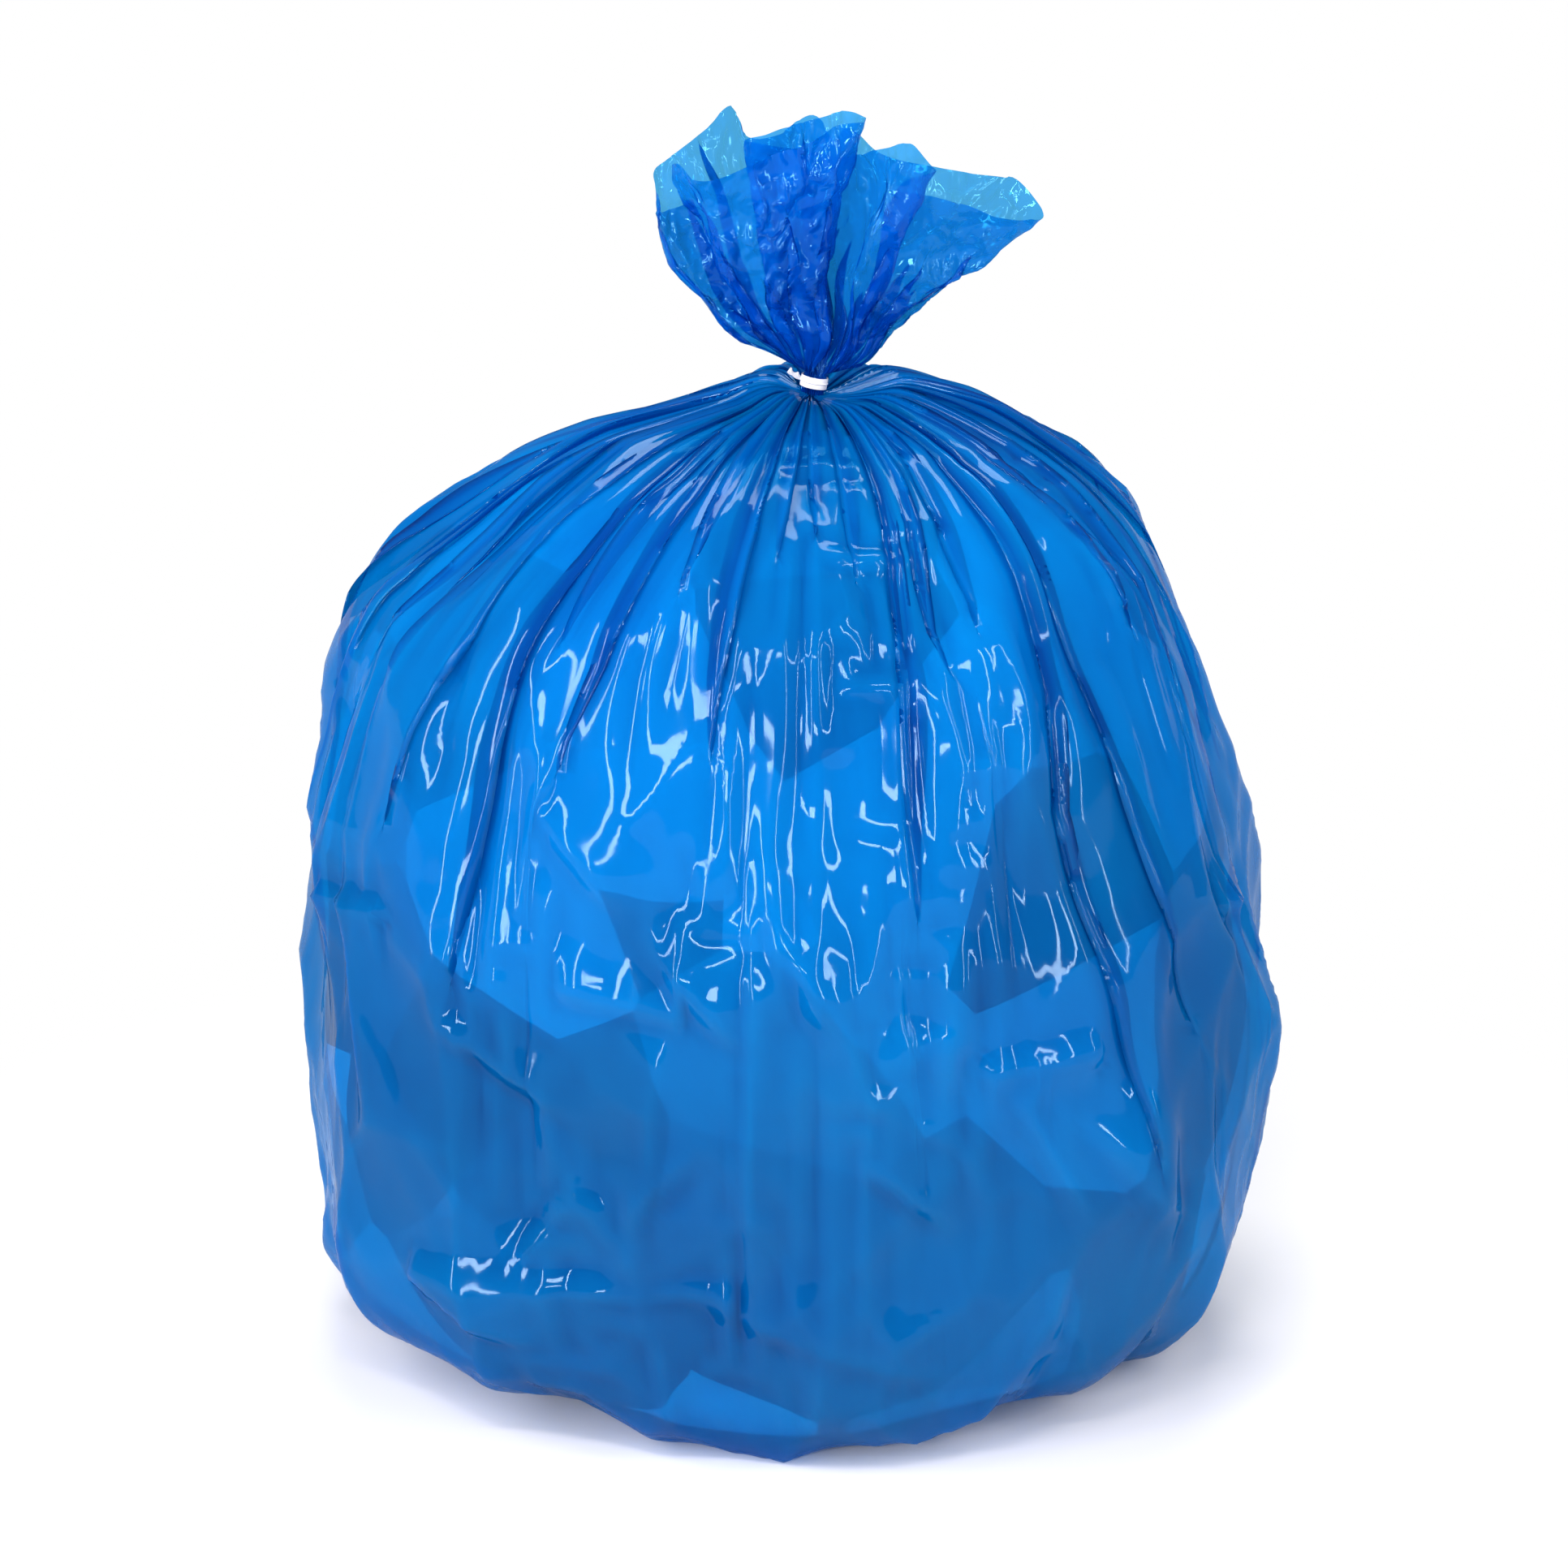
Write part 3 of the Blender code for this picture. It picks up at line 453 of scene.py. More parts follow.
def pleated_body(chance):
    """The body's pleated film: grid of positions, normals, and where it crumples."""
    place = row_places()
    side = place >= 0
    ring = np.tile(np.linspace(0, 2 * math.pi, 24, endpoint=False), (len(place), 1))
    mean = body_form(place, ring)
    reach = np.hypot(mean[..., 0], mean[..., 1]).mean(1)
    height = mean[..., 2].mean(1)
    run = np.concatenate([[0.0], np.cumsum(np.hypot(np.diff(reach), np.diff(height)))])

    pleats = all_pleats()
    count = len(pleats)
    overlap = np.array([pleat[0] for pleat in pleats])
    hands = np.array([pleat[1] for pleat in pleats])
    depth = np.clip((overlap / FULL_OVERLAP) ** 2, 0.2, 1.2)
    centres = np.round((np.arange(count) + 0.5) * COLUMNS / count).astype(int)
    paths = []
    tips = []
    middle = len(FRONT_PLEATS) / 2 - 0.5
    for index, (_, _, path) in enumerate(pleats):
        stations = [run[np.abs(np.where(side, height, 9.0) - level).argmin()]
                    for _, level in path]
        turns = [math.radians(turn) for turn, _ in path]
        even = math.radians(270.0) + 2 * math.pi * (index - middle) / count
        tips.append(stations[-1])
        foot = max(run[side][-1], stations[-1] + 0.05)
        paths.append(np.interp(run, stations + [foot], turns + [even]))
    paths, tips = np.array(paths), np.array(tips)
    order = 0.02 * np.arange(count)[:, None]
    paths = np.maximum.accumulate(paths - order, axis=0) + order

    shape = (len(place), COLUMNS)
    angle, level, bulge = np.zeros(shape), np.zeros(shape), np.zeros(shape)
    natural = 2 * math.pi * PLEAT_HALF / COLUMNS
    for row in range(shape[0]):
        turns = paths[:, row]
        gap = np.diff(np.append(turns, turns[0] + 2 * math.pi))
        room = 0.38 * np.minimum(gap, np.roll(gap, 1))
        fold = smooth((tips - run[row]) / (0.35 * tips))
        closing = np.minimum(overlap / 2 / reach[row], room)
        spread = closing * fold - np.minimum(natural, room) * (1.0 - smooth(fold * 4.0))
        angle[row] = fold_back(COLUMNS, centres, turns, spread, 2 * math.pi)
        gap_here = min(LAYER_GAP, 0.10 * reach[row])
        level[row] = layer_rise(COLUMNS, centres, hands, fold) * gap_here
        level[row] -= 2 * gap_here * (1.0 - smooth(run[row] / 0.02))
        nearest = np.interp(angle[row], np.concatenate([turns[-1:] - 2 * math.pi, turns,
                            turns[:2] + 2 * math.pi]), np.arange(-1, count + 2))
        across = np.abs(nearest - np.round(nearest)) * 2.0
        taken = (fold * depth)[np.round(nearest).astype(int) % count]
        bulge[row] = -(1.0 - across) ** 2 * taken * min(PLEAT_SINK, 0.12 * reach[row])
    base = body_form(place, angle)
    normal = form_normals(place, angle)
    base = base + normal * (level + bulge)[..., None]

    ends = [(math.radians(pleat[2][-1][0]), tip) for pleat, tip in zip(pleats, tips)]

    def crumple_at(stations, turns):
        """How much film gathers near the pleats' tips, 0 to 1."""
        around = np.interp(stations, run, reach)[:, None]
        amount = np.zeros_like(turns)
        for turn, tip in ends:
            x = wrapped(turns - turn) * around
            y = (stations - tip)[:, None]
            amount += np.exp(-(x / CRUMPLE_ROUND) ** 2 - (y / CRUMPLE_DOWN) ** 2)
        return np.clip(amount, 0.0, 1.0)

    crumple = crumple_at(run, angle)
    stations, creases = coarse_creases(chance, run, crumple_at)
    relief = (sample_ring(stations, creases, run, angle) + FULLNESS) * side[:, None]
    relief += ridge_field(run, height, side, angle, reach)
    relief -= hollows(run, height, side, angle, reach)
    calm = smooth((run - 0.02) / 0.08) * smooth((place + 0.3) / 0.8)
    folds = tension_folds(chance, angle, base[..., 2])
    end = run[SIDE_ROWS - 1]
    lower = (1.0 + 0.1 * run / end)[:, None]
    folds += panels(chance, run, angle, reach, end, PANEL_SIZE, PANEL_HEIGHT) * lower
    folds += panels(chance, run, angle, reach, end, FACET_SIZE, FACET_HEIGHT) * crumple
    relief += folds * calm[:, None]
    base = base + normal * relief[..., None]
    return place, run, angle, base, normal, crumple


def pull(a, b, rest, stiff):
    """Moves both ends of links towards their rest length."""
    link = b - a
    length = np.sqrt((link * link).sum(-1)) + 1e-9
    shift = link * (0.5 * stiff * (length - rest) / length)[..., None]
    return a + shift, b - shift


def rest_lengths(base, around, down):
    """Rest lengths of the film's links, longer than the base by shares around and down."""
    def span(a, b):
        return np.sqrt(((a - b) ** 2).sum(-1))

    right = np.roll(base, -1, axis=1)
    both = 0.5 * (around + down)[:-1]
    return (span(base, right) * (1 + around), span(base[:-1], base[1:]) * (1 + down[:-1]),
            span(base[:-1], right[1:]) * (1 + both), span(right[:-1], base[1:]) * (1 + both))


def relax(base, start, normal, free, around, down, limits, steps, calm):
    """Settles film that is longer than its base into creases near the base."""
    inner, outer, slide = (least + more * free for least, more in limits)
    film, base, normal = (grid.astype(np.float32) for grid in (start, base, normal))
    rests = [rest.astype(np.float32) for rest in rest_lengths(base, around, down)]
    round_rest, down_rest, one, other = rests
    count = film.shape[1]
    for _ in range(steps):
        for first in (0, 1):
            links = np.arange(first, count, 2)
            nexts = (links + 1) % count
            film[:, links], film[:, nexts] = pull(
                film[:, links], film[:, nexts], round_rest[:, links], 1.0)
        for first in (0, 1):
            film[first:-1:2], film[first + 1::2] = pull(
                film[first:-1:2], film[first + 1::2], down_rest[first::2], 1.0)
        for first in (0, 1):
            a, b = pull(film[first:-1:2], np.roll(film[first + 1::2], -1, axis=1),
                        one[first::2], 0.6)
            film[first:-1:2], film[first + 1::2] = a, np.roll(b, 1, axis=1)
        for first in (0, 1):
            a, b = pull(np.roll(film[first:-1:2], -1, axis=1), film[first + 1::2],
                        other[first::2], 0.6)
            film[first:-1:2], film[first + 1::2] = np.roll(a, 1, axis=1), b
        move = film - base
        mean = (np.roll(move, 1, axis=1) + np.roll(move, -1, axis=1)) * 0.25
        mean[1:-1] += (move[:-2] + move[2:]) * 0.25
        move[1:-1] += calm * (mean[1:-1] - move[1:-1])
        out = (move * normal).sum(-1)
        flat = move - normal * out[..., None]
        size = np.sqrt((flat * flat).sum(-1)) + 1e-9
        flat *= np.minimum(1.0, slide / size)[..., None]
        film = base + flat + normal * np.clip(out, -inner, outer)[..., None]
    return film


def grid_mesh(name, points, closed_end=False):
    """Mesh of a grid that closes round its columns; closed_end caps the last row."""
    rows, columns = points.shape[:2]
    i, j = np.meshgrid(np.arange(rows - 1), np.arange(columns), indexing="ij")
    k = (j + 1) % columns
    quads = np.stack([i * columns + j, (i + 1) * columns + j,
                      (i + 1) * columns + k, i * columns + k], -1).reshape(-1, 4)
    faces = quads.tolist()
    if closed_end:
        faces.append(list(range((rows - 1) * columns, rows * columns)))
    data = bpy.data.meshes.new(name)
    data.from_pydata(points.reshape(-1, 3).tolist(), [], faces)
    data.update()
    data.shade_smooth()
    item = bpy.data.objects.new(name, data)
    bpy.context.scene.collection.objects.link(item)
    return item


def coarse_creases(chance, run, crumple_at):
    """Large creases of slack film: (stations down, field of heights above the form)."""
    rows, columns = COARSE_GRID
    place = row_places()[:SIDE_ROWS]
    stations = np.linspace(0.0, run[SIDE_ROWS - 1], rows)
    place = np.interp(stations, run[:SIDE_ROWS], place)
    angle = np.tile(np.linspace(0, 2 * math.pi, columns, endpoint=False), (rows, 1))
    base = body_form(place, angle)
    normal = form_normals(place, angle)
    off_neck = smooth((stations - 0.05) / 0.12)
    off_foot = smooth(1.05 * (1 - stations / stations[-1]) * 8)
    free = (off_neck * off_foot)[:, None] * np.ones((rows, columns))
    waves = starting_waves(chance, (rows, columns), COARSE_WAVES)
    start = base + normal * (free * waves)[..., None]
    patch = smooth(0.5 + 0.6 * noise_grid(chance, (rows, columns), (6, 9)))
    around, down = excess_length(COARSE_SLACK, patch, crumple_at(stations, angle))
    film = relax(base, start, normal, free, around * free, down * free, COARSE_LIMITS,
                 COARSE_STEPS, 0.02)
    return stations, ((film - base) * normal).sum(-1)


def sample_ring(stations, field, run, angle):
    """Values of a field of (stations, angles round) at the grid's own places."""
    rows, columns = field.shape
    i = np.interp(run, stations, np.arange(rows))[:, None]
    j = (angle / (2 * math.pi) * columns) % columns
    low_i = np.minimum(np.floor(i).astype(int), rows - 2)
    low_j = np.floor(j).astype(int)
    u, v = i - low_i, j - low_j
    low_j = low_j % columns
    next_j = (low_j + 1) % columns
    low_i = low_i * np.ones_like(low_j)
    return ((1 - u) * ((1 - v) * field[low_i, low_j] + v * field[low_i, next_j])
            + u * ((1 - v) * field[low_i + 1, low_j] + v * field[low_i + 1, next_j]))


def body_film():
    """The film round the body, from the neck down and under the base."""
    chance = np.random.default_rng(BODY_SEED)
    place, run, angle, base, normal, crumple = pleated_body(chance)
    shape = base.shape[:2]
    on_side = smooth((place + 0.05) / 0.4)[:, None]
    off_neck = smooth((run - 0.010) / 0.05)[:, None]
    free = on_side * off_neck * np.ones(shape)
    start = base + normal * (free * starting_waves(chance, shape, BODY_WAVES))[..., None]
    patch = smooth(0.3 + 0.6 * noise_grid(chance, shape, (7, 12)))
    around, down = excess_length(BODY_SLACK, patch, crumple)
    steps = BODY_STEPS
    film = relax(base, start, normal, free, around * free, down * free, BODY_LIMITS, steps, 0.02)
    film[..., 2] = np.maximum(film[..., 2], 0.0004)
    out = ((film - body_form(place, angle)) * form_normals(place, angle)).sum(-1)
    return grid_mesh("body_film", place_on_neck(film), closed_end=True), (place, angle, out)


def mouth_form(turn, share):
    """Smooth form of the mouth: a fan ruled from the neck up to the wandering rim."""
    rim = np.array(RIM)
    fine = np.linspace(0.0, len(rim), 1200)
    line = closed_curve(rim, fine % len(rim))
    run = np.concatenate([[0.0], np.cumsum(np.linalg.norm(np.diff(line, axis=0), axis=-1))])
    shares = (turn / (2 * math.pi)) % 1.0
    edge = closed_curve(rim, np.interp(shares, run / run[-1], fine) % len(rim))
    around = RIM_START + turn
    foot = np.stack([NECK_RADIUS * np.cos(around), NECK_RADIUS * np.sin(around),
                     np.full_like(around, NECK_LENGTH / 2)], -1)
    below = np.minimum(share, 0.0)
    share = np.maximum(share, 0.0)
    side = 0.5 + 0.5 * np.cos(np.arctan2(edge[..., 1], edge[..., 0]))
    swell = 0.60 + 0.13 * side
    reach = share ** swell
    x = foot[..., 0] + (edge[..., 0] - foot[..., 0]) * reach
    y = foot[..., 1] + (edge[..., 1] - foot[..., 1]) * reach
    z = foot[..., 2] + (edge[..., 2] - foot[..., 2]) * share + below
    return np.stack([x, y, z + NECK_MIDDLE], -1)


def mouth_reach(share):
    """Mean distance of the mouth's film from its axis."""
    return NECK_RADIUS + RIM_RUN * share ** 0.8


def mouth_film():
    """The open mouth: pleats that fan out from the neck and fade towards the rim."""
    chance = np.random.default_rng(MOUTH_SEED)
    sleeve = np.linspace(-SLEEVE_LENGTH, 0.0, SLEEVE_ROWS, endpoint=False)
    shares = np.concatenate([sleeve, np.linspace(0.0, 1.0, MOUTH_ROWS) ** 1.15])
    pitch = MOUTH_COLUMNS // MOUTH_PLEATS
    centres = np.arange(MOUTH_PLEATS) * pitch + pitch // 2
    hands = chance.choice([-1, 1], MOUTH_PLEATS)
    tips = chance.uniform(0.35, 1.15, MOUTH_PLEATS)
    overlap = chance.uniform(0.005, 0.010, MOUTH_PLEATS)
    sway = chance.uniform(-0.06, 0.06, MOUTH_PLEATS)
    home = 2 * math.pi * centres / MOUTH_COLUMNS
    natural = 2 * math.pi * PLEAT_HALF / MOUTH_COLUMNS
    room = 0.36 * 2 * math.pi / MOUTH_PLEATS
    shape = (len(shares), MOUTH_COLUMNS)
    turn, level = np.zeros(shape), np.zeros(shape)
    for row, share in enumerate(np.maximum(shares, 0.0)):
        fold = smooth((tips - share) / (0.5 * tips))
        closing = np.minimum(overlap / 2 / mouth_reach(share), room)
        spread = closing * fold - np.minimum(natural, room) * (1.0 - smooth(fold * 4.0))
        turn[row] = fold_back(MOUTH_COLUMNS, centres, home + sway * share, spread, 2 * math.pi)
        rise = layer_rise(MOUTH_COLUMNS, centres, hands, fold)
        level[row] = rise * MOUTH_GAP * min(1.0, 6 * share)
        ripple = 1.0 + np.sin(turn[row] * MOUTH_PLEATS)
        level[row] -= MOUTH_GAP * (1.0 - smooth(12 * share)) * ripple
    grid = shares[:, None] * np.ones(shape)
    base = mouth_form(turn, grid)
    around = mouth_form(turn + 0.01, grid) - mouth_form(turn - 0.01, grid)
    up = mouth_form(turn, np.minimum(grid + 0.01, 1.0)) - mouth_form(turn, grid - 0.01)
    normal = unit(np.cross(around, up))
    flutes = np.sin(turn * FLUTES + 2.0 * np.sin(turn * 3)) * FLUTE_DEPTH
    flutes = flutes * np.maximum(grid, 0.0) * (1.0 - grid)
    run = MOUTH_HEIGHT * np.maximum(shares, 0.0)
    reach = mouth_reach(np.maximum(shares, 0.0))
    crumple = sum(panels(chance, run, turn, reach, run[-1], size, tall, MOUTH_TILT)
                  for size, tall in MOUTH_PANELS)
    crumple = (crumple + 0.0012) * smooth(3.0 * grid)
    base = base + normal * (level + flutes + crumple)[..., None]
    waves = starting_waves(chance, shape, MOUTH_WAVES)
    free = smooth(grid * 4.0)
    start = base + normal * (free * waves)[..., None]
    patch = smooth(0.5 + 0.6 * noise_grid(chance, shape, (5, 14)))
    plain, loose = MOUTH_SLACK
    excess = (plain + loose * patch) * free
    steps = MOUTH_STEPS
    film = relax(base, start, normal, free, excess, 0.7 * excess, MOUTH_LIMITS, steps, 0.03)
    return grid_mesh("mouth_film", place_on_neck(film))


def contents(place, angle, out):
    """What shows faintly through the film: lumpy packs of paper and wrap, inside it."""
    chance = np.random.default_rng(CONTENTS_SEED)
    columns = CONTENTS_COLUMNS
    bins = np.floor(angle / (2 * math.pi) * columns).astype(int) % columns
    lowest = np.full((len(place), columns), CONTENTS_GAP)
    row_of = np.arange(len(place))[:, None] * np.ones_like(bins)
    np.minimum.at(lowest, (row_of, bins), out)
    for _ in range(3):
        lowest = np.minimum(lowest, np.minimum(np.roll(lowest, 1, 1), np.roll(lowest, -1, 1)))
        lowest[1:-1] = np.minimum(lowest[1:-1], np.minimum(lowest[2:], lowest[:-2]))
    rows = CONTENTS_ROWS
    turns = np.tile((np.arange(columns) + 0.5) * 2 * math.pi / columns, (len(rows), 1))
    base = body_form(place[rows], turns)
    normal = form_normals(place[rows], turns)
    lumps = noise_grid(chance, turns.shape, (9, 14)) * CONTENTS_LUMPS
    offset = np.minimum(lumps - CONTENTS_DEPTH, lowest[rows] - CONTENTS_GAP)
    points = base + normal * offset[..., None]
    points[..., 2] = np.maximum(points[..., 2], CONTENTS_FOOT)
    return grid_mesh("contents", points + np.array([NECK_X, NECK_Y, 0.0]), closed_end=True)


def new_material(name):
    material = bpy.data.materials.new(name)
    material.use_nodes = True
    return material, material.node_tree, material.node_tree.nodes["Principled BSDF"]


def noise_node(tree, scale, detail, distortion=0.0, stretch=(1, 1, 1)):
    place = tree.nodes.new("ShaderNodeTexCoord")
    mapping = tree.nodes.new("ShaderNodeMapping")
    mapping.inputs["Scale"].default_value = stretch
    noise = tree.nodes.new("ShaderNodeTexNoise")
    noise.inputs["Scale"].default_value = scale
    noise.inputs["Detail"].default_value = detail
    noise.inputs["Distortion"].default_value = distortion
    tree.links.new(place.outputs["Object"], mapping.inputs["Vector"])
    tree.links.new(mapping.outputs["Vector"], noise.inputs["Vector"])
    return noise


def ramp_node(tree, source, stops):
    ramp = tree.nodes.new("ShaderNodeValToRGB")
    while len(ramp.color_ramp.elements) < len(stops):
        ramp.color_ramp.elements.new(0.5)
    for element, (position, colour) in zip(ramp.color_ramp.elements, stops):
        element.position = position
        element.color = colour + (1.0,)
    tree.links.new(source, ramp.inputs["Fac"])
    return ramp


def mixed(tree, share, first, second):
    mix = tree.nodes.new("ShaderNodeMixShader")
    mix.inputs["Fac"].default_value = share
    tree.links.new(first, mix.inputs[1])
    tree.links.new(second, mix.inputs[2])
    return mix.outputs["Shader"]


def height_share(tree, low, high):
    """0 below the low height and 1 above the high one."""
    place = tree.nodes.new("ShaderNodeTexCoord")
    split = tree.nodes.new("ShaderNodeSeparateXYZ")
    tree.links.new(place.outputs["Object"], split.inputs["Vector"])
    share = tree.nodes.new("ShaderNodeMapRange")
    share.interpolation_type = "SMOOTHSTEP"
    share.inputs["From Min"].default_value = low
    share.inputs["From Max"].default_value = high
    tree.links.new(split.outputs["Z"], share.inputs["Value"])
    return share.outputs["Result"]


def blended(tree, share, low, high, kind="MIX"):
    """Blend of two colours by a share, or wholly where there is none."""
    blend = tree.nodes.new("ShaderNodeMix")
    blend.data_type = "RGBA"
    blend.blend_type = kind
    if share is None:
        blend.inputs["Factor"].default_value = 1.0
    else:
        tree.links.new(share, blend.inputs["Factor"])
    tree.links.new(low, blend.inputs["A"])
    tree.links.new(high, blend.inputs["B"])
    return blend.outputs["Result"]


def film_material(name, shaded_low_tones, lit_high_tones, heights, crinkle, shine_colour, glow_colour,
                  clear):
    """Thin blue film: part of the light scatters, the rest passes tinted, and it shines. Its
    colour holds painted shade: darker lower down and in the hollows of creases.
    """
    material, tree, shader = new_material(name)
    cloud = noise_node(tree, 7.0, 3.0)
    tones = [ramp_node(tree, cloud.outputs["Fac"], [(0.30, dark), (0.70, light)]).outputs["Color"]
             for dark, light in (shaded_low_tones, lit_high_tones)]
    # Painted shade and light: the tones below the heights are darker than those above them.
    tone = blended(tree, height_share(tree, *heights), *tones)
    form = tree.nodes.new("ShaderNodeNewGeometry")
    # Painted shade: the colour darkens in the hollows of creases and folds, found by pointiness.
    crease_shade = ramp_node(tree, form.outputs["Pointiness"], [
        (0.455, (0.38, 0.48, 0.62)), (0.497, (0.80, 0.80, 0.86)), (0.545, (1.0, 1.0, 1.0))])
    tone = blended(tree, None, tone, crease_shade.outputs["Color"], "MULTIPLY")
    tree.links.new(tone, shader.inputs["Base Color"])
    smear = noise_node(tree, 30.0, 4.0)
    gloss = ramp_node(tree, smear.outputs["Fac"],
                      [(0.35, (0.03, 0.03, 0.03)), (0.75, (0.10, 0.10, 0.10))])
    tree.links.new(gloss.outputs["Color"], shader.inputs["Roughness"])
    shader.inputs["Specular IOR Level"].default_value = 0.05
    shine = tree.nodes.new("ShaderNodeBsdfGlossy")
    shine.inputs["Color"].default_value = shine_colour + (1.0,)
    tree.links.new(gloss.outputs["Color"], shine.inputs["Roughness"])
    scale, strength, distance = crinkle
    creases = noise_node(tree, scale, 2.0, 0.4, (1.0, 1.0, 0.45))
    creases.noise_type = "RIDGED_MULTIFRACTAL"
    bump = tree.nodes.new("ShaderNodeBump")
    bump.inputs["Strength"].default_value = strength
    bump.inputs["Distance"].default_value = distance
    tree.links.new(creases.outputs["Fac"], bump.inputs["Height"])
    tree.links.new(bump.outputs["Normal"], shader.inputs["Normal"])
    tree.links.new(bump.outputs["Normal"], shine.inputs["Normal"])
    glow = tree.nodes.new("ShaderNodeBsdfTranslucent")
    glow.inputs["Color"].default_value = glow_colour + (1.0,)
    through = tree.nodes.new("ShaderNodeBsdfTransparent")
    share, tint = clear
    through.inputs["Color"].default_value = tint + (1.0,)
    body = mixed(tree, GLOW_SHARE, shader.outputs["BSDF"], glow.outputs["BSDF"])
    whole = tree.nodes.new("ShaderNodeAddShader")
    tree.links.new(mixed(tree, share, body, through.outputs["BSDF"]), whole.inputs[0])
    tree.links.new(shine.outputs["BSDF"], whole.inputs[1])
    tree.links.new(whole.outputs["Shader"], tree.nodes["Material Output"].inputs["Surface"])
    return material


def contents_material():
    """Pale and dark packs with straight edges; lower down they are painted darker as shade."""
    material, tree, shader = new_material("contents")
    place = tree.nodes.new("ShaderNodeTexCoord")
    cells = tree.nodes.new("ShaderNodeTexVoronoi")
    cells.inputs["Scale"].default_value = 11.0
    tree.links.new(place.outputs["Object"], cells.inputs["Vector"])
    pale = ramp_node(tree, cells.outputs["Color"], [
        (0.10, (0.24, 0.33, 0.38)), (0.40, (0.45, 0.55, 0.58)), (0.75, (0.84, 0.90, 0.91))])
    dark = ramp_node(tree, cells.outputs["Color"], [
        (0.15, (0.03, 0.04, 0.08)), (0.40, (0.08, 0.12, 0.18)),
        (0.60, (0.26, 0.33, 0.38)), (0.90, (0.80, 0.86, 0.88))])
    # Painted shade: the packs turn from the darker set below to the paler set above.
    share = height_share(tree, 0.16, 0.40)
    tone = blended(tree, share, dark.outputs["Color"], pale.outputs["Color"])
    tree.links.new(tone, shader.inputs["Base Color"])
    shader.inputs["Roughness"].default_value = 0.7
    return material


def tie_material():
    """White coated strip, a little uneven."""
    material, tree, shader = new_material("white_strip")
    grime = noise_node(tree, 260.0, 3.0)
    tone = ramp_node(tree, grime.outputs["Fac"],
                     [(0.3, (0.74, 0.74, 0.78)), (0.6, (0.88, 0.87, 0.89))])
    tree.links.new(tone.outputs["Color"], shader.inputs["Base Color"])
    shader.inputs["Roughness"].default_value = 0.35
    bump = tree.nodes.new("ShaderNodeBump")
    bump.inputs["Strength"].default_value = 0.3
    bump.inputs["Distance"].default_value = 0.0003
    tree.links.new(grime.outputs["Fac"], bump.inputs["Height"])
    tree.links.new(bump.outputs["Normal"], shader.inputs["Normal"])
    return material


def area_light(name, location, aim, size, power, colour):
    """Rectangular lamp turned towards the bag's axis at the height of aim."""
    data = bpy.data.lights.new(name, "AREA")
    data.shape = "RECTANGLE"
    data.size, data.size_y = size
    data.energy = power
    data.color = colour
    item = bpy.data.objects.new(name, data)
    item.location = location
    away = Vector((0, 0, aim)) - Vector(location)
    item.rotation_euler = away.to_track_quat("-Z", "Y").to_euler()
    bpy.context.scene.collection.objects.link(item)


def seen_rays(tree):
    """1 for rays that show the background: camera, glossy and transmission rays."""
    path = tree.nodes.new("ShaderNodeLightPath")
    both = tree.nodes.new("ShaderNodeMath")
    both.operation = "MAXIMUM"
    tree.links.new(path.outputs["Is Camera Ray"], both.inputs[0])
    tree.links.new(path.outputs["Is Glossy Ray"], both.inputs[1])
    seen = tree.nodes.new("ShaderNodeMath")
    seen.operation = "MAXIMUM"
    tree.links.new(both.outputs[0], seen.inputs[0])
    tree.links.new(path.outputs["Is Transmission Ray"], seen.inputs[1])
    return seen.outputs[0]


def studio():
    world = bpy.context.scene.world or bpy.data.worlds.new("studio")
    bpy.context.scene.world = world
    world.use_nodes = True
    tree = world.node_tree
    ground = tree.nodes["Background"]
    ground.inputs["Color"].default_value = (1.0, 1.0, 1.0, 1.0)
    ground.inputs["Strength"].default_value = WORLD_STRENGTH
    for number, (place, width, power) in enumerate(STRIPS):
        area_light(f"strip {number}", place, STRIP_AIM, (width, STRIP_LENGTH), power, COOL)
    for lamp in WIDE_LAMPS:
        area_light(*lamp)


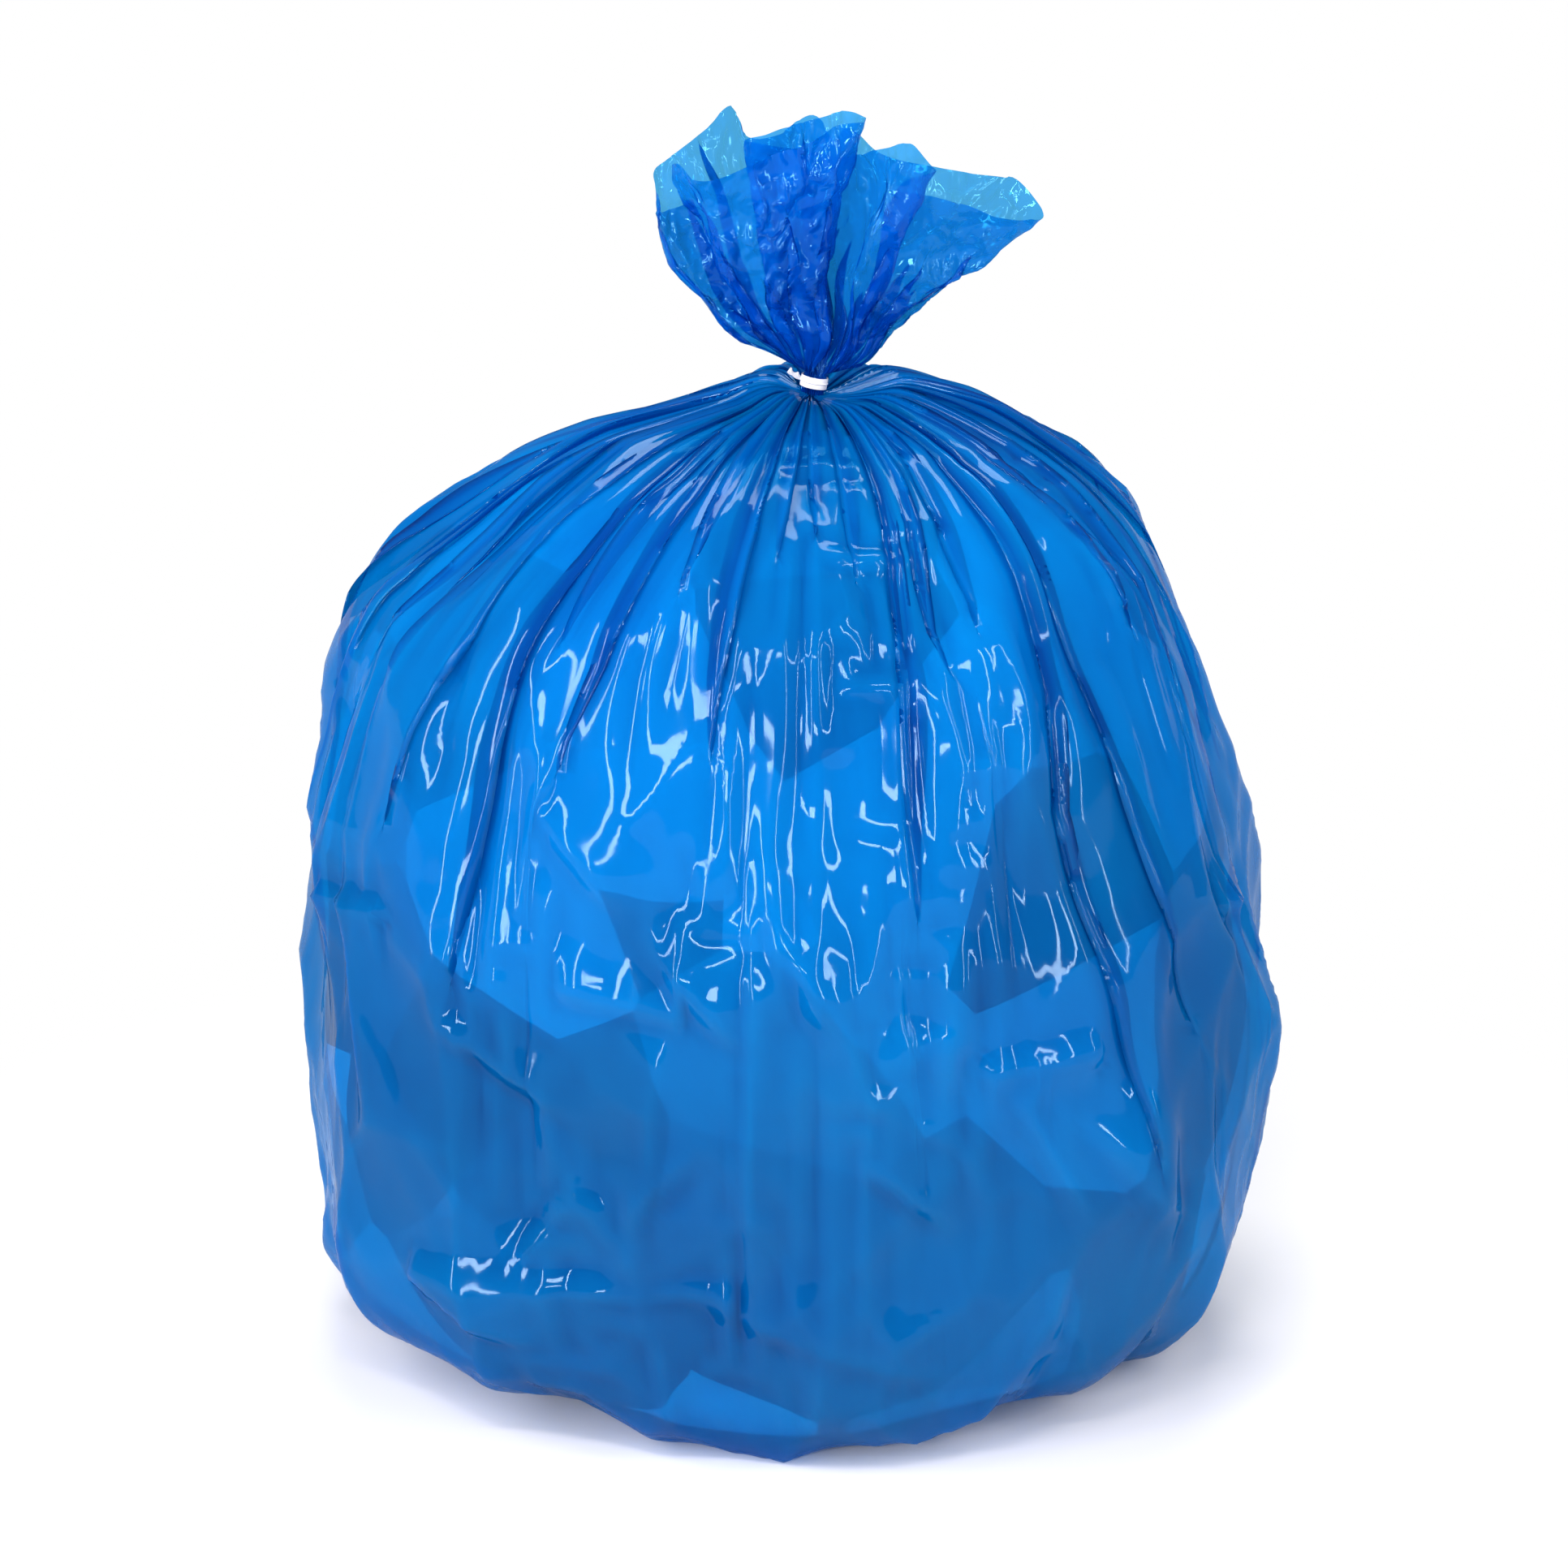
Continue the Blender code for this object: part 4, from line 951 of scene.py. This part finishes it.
def floor():
    """White ground that keeps the shadow near the bag and fades to plain white."""
    data = bpy.data.meshes.new("floor")
    half = FLOOR_HALF
    corners = [(-half, -half, 0), (half, -half, 0), (half, half, 0), (-half, half, 0)]
    data.from_pydata(corners, [], [(0, 1, 2, 3)])
    item = bpy.data.objects.new("floor", data)
    bpy.context.scene.collection.objects.link(item)
    material, tree, shader = new_material("floor")
    shader.inputs["Base Color"].default_value = (0.90, 0.90, 0.90, 1.0)
    shader.inputs["Roughness"].default_value = 0.9
    shader.inputs["Specular IOR Level"].default_value = 0.0
    place = tree.nodes.new("ShaderNodeTexCoord")
    reach = tree.nodes.new("ShaderNodeVectorMath")
    reach.operation = "LENGTH"
    tree.links.new(place.outputs["Object"], reach.inputs[0])
    fade = tree.nodes.new("ShaderNodeMapRange")
    fade.interpolation_type = "SMOOTHSTEP"
    fade.inputs["From Min"].default_value, fade.inputs["From Max"].default_value = FLOOR_FADE
    tree.links.new(reach.outputs["Value"], fade.inputs["Value"])
    amount = tree.nodes.new("ShaderNodeMath")
    amount.operation = "MULTIPLY"
    tree.links.new(fade.outputs["Result"], amount.inputs[0])
    tree.links.new(seen_rays(tree), amount.inputs[1])
    white = tree.nodes.new("ShaderNodeEmission")
    mix = tree.nodes.new("ShaderNodeMixShader")
    tree.links.new(amount.outputs[0], mix.inputs["Fac"])
    tree.links.new(shader.outputs["BSDF"], mix.inputs[1])
    tree.links.new(white.outputs["Emission"], mix.inputs[2])
    tree.links.new(mix.outputs["Shader"], tree.nodes["Material Output"].inputs["Surface"])
    data.materials.append(material)


def camera():
    look = Vector((0.0, math.cos(CAMERA_RISE), -math.sin(CAMERA_RISE)))
    data = bpy.data.cameras.new("camera")
    data.sensor_width = SENSOR_WIDTH
    data.lens = SENSOR_WIDTH * CAMERA_DISTANCE / CAMERA_SPAN
    item = bpy.data.objects.new("camera", data)
    item.location = Vector(CAMERA_TARGET) - look * CAMERA_DISTANCE
    item.rotation_euler = look.to_track_quat("-Z", "Y").to_euler()
    bpy.context.scene.collection.objects.link(item)
    bpy.context.scene.camera = item


def dress():
    """Every piece of the bag, with its material, and the CAD solids that they replace."""
    film = film_material("blue_film", **BODY_LOOK)
    top_film = film_material("blue_film_mouth", **MOUTH_LOOK)
    body, form = body_film()
    for piece, material in ((body, film), (mouth_film(), top_film),
                            (contents(*form), contents_material())):
        piece.data.materials.append(material)
        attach(piece, "root")
        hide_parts("bag")
    tie = bpy.data.objects["tie"]
    white = tie_material()
    for slot in tie.material_slots:
        slot.material = white


bpy.context.scene.view_settings.view_transform = "Standard"
dress()
studio()
floor()
camera()
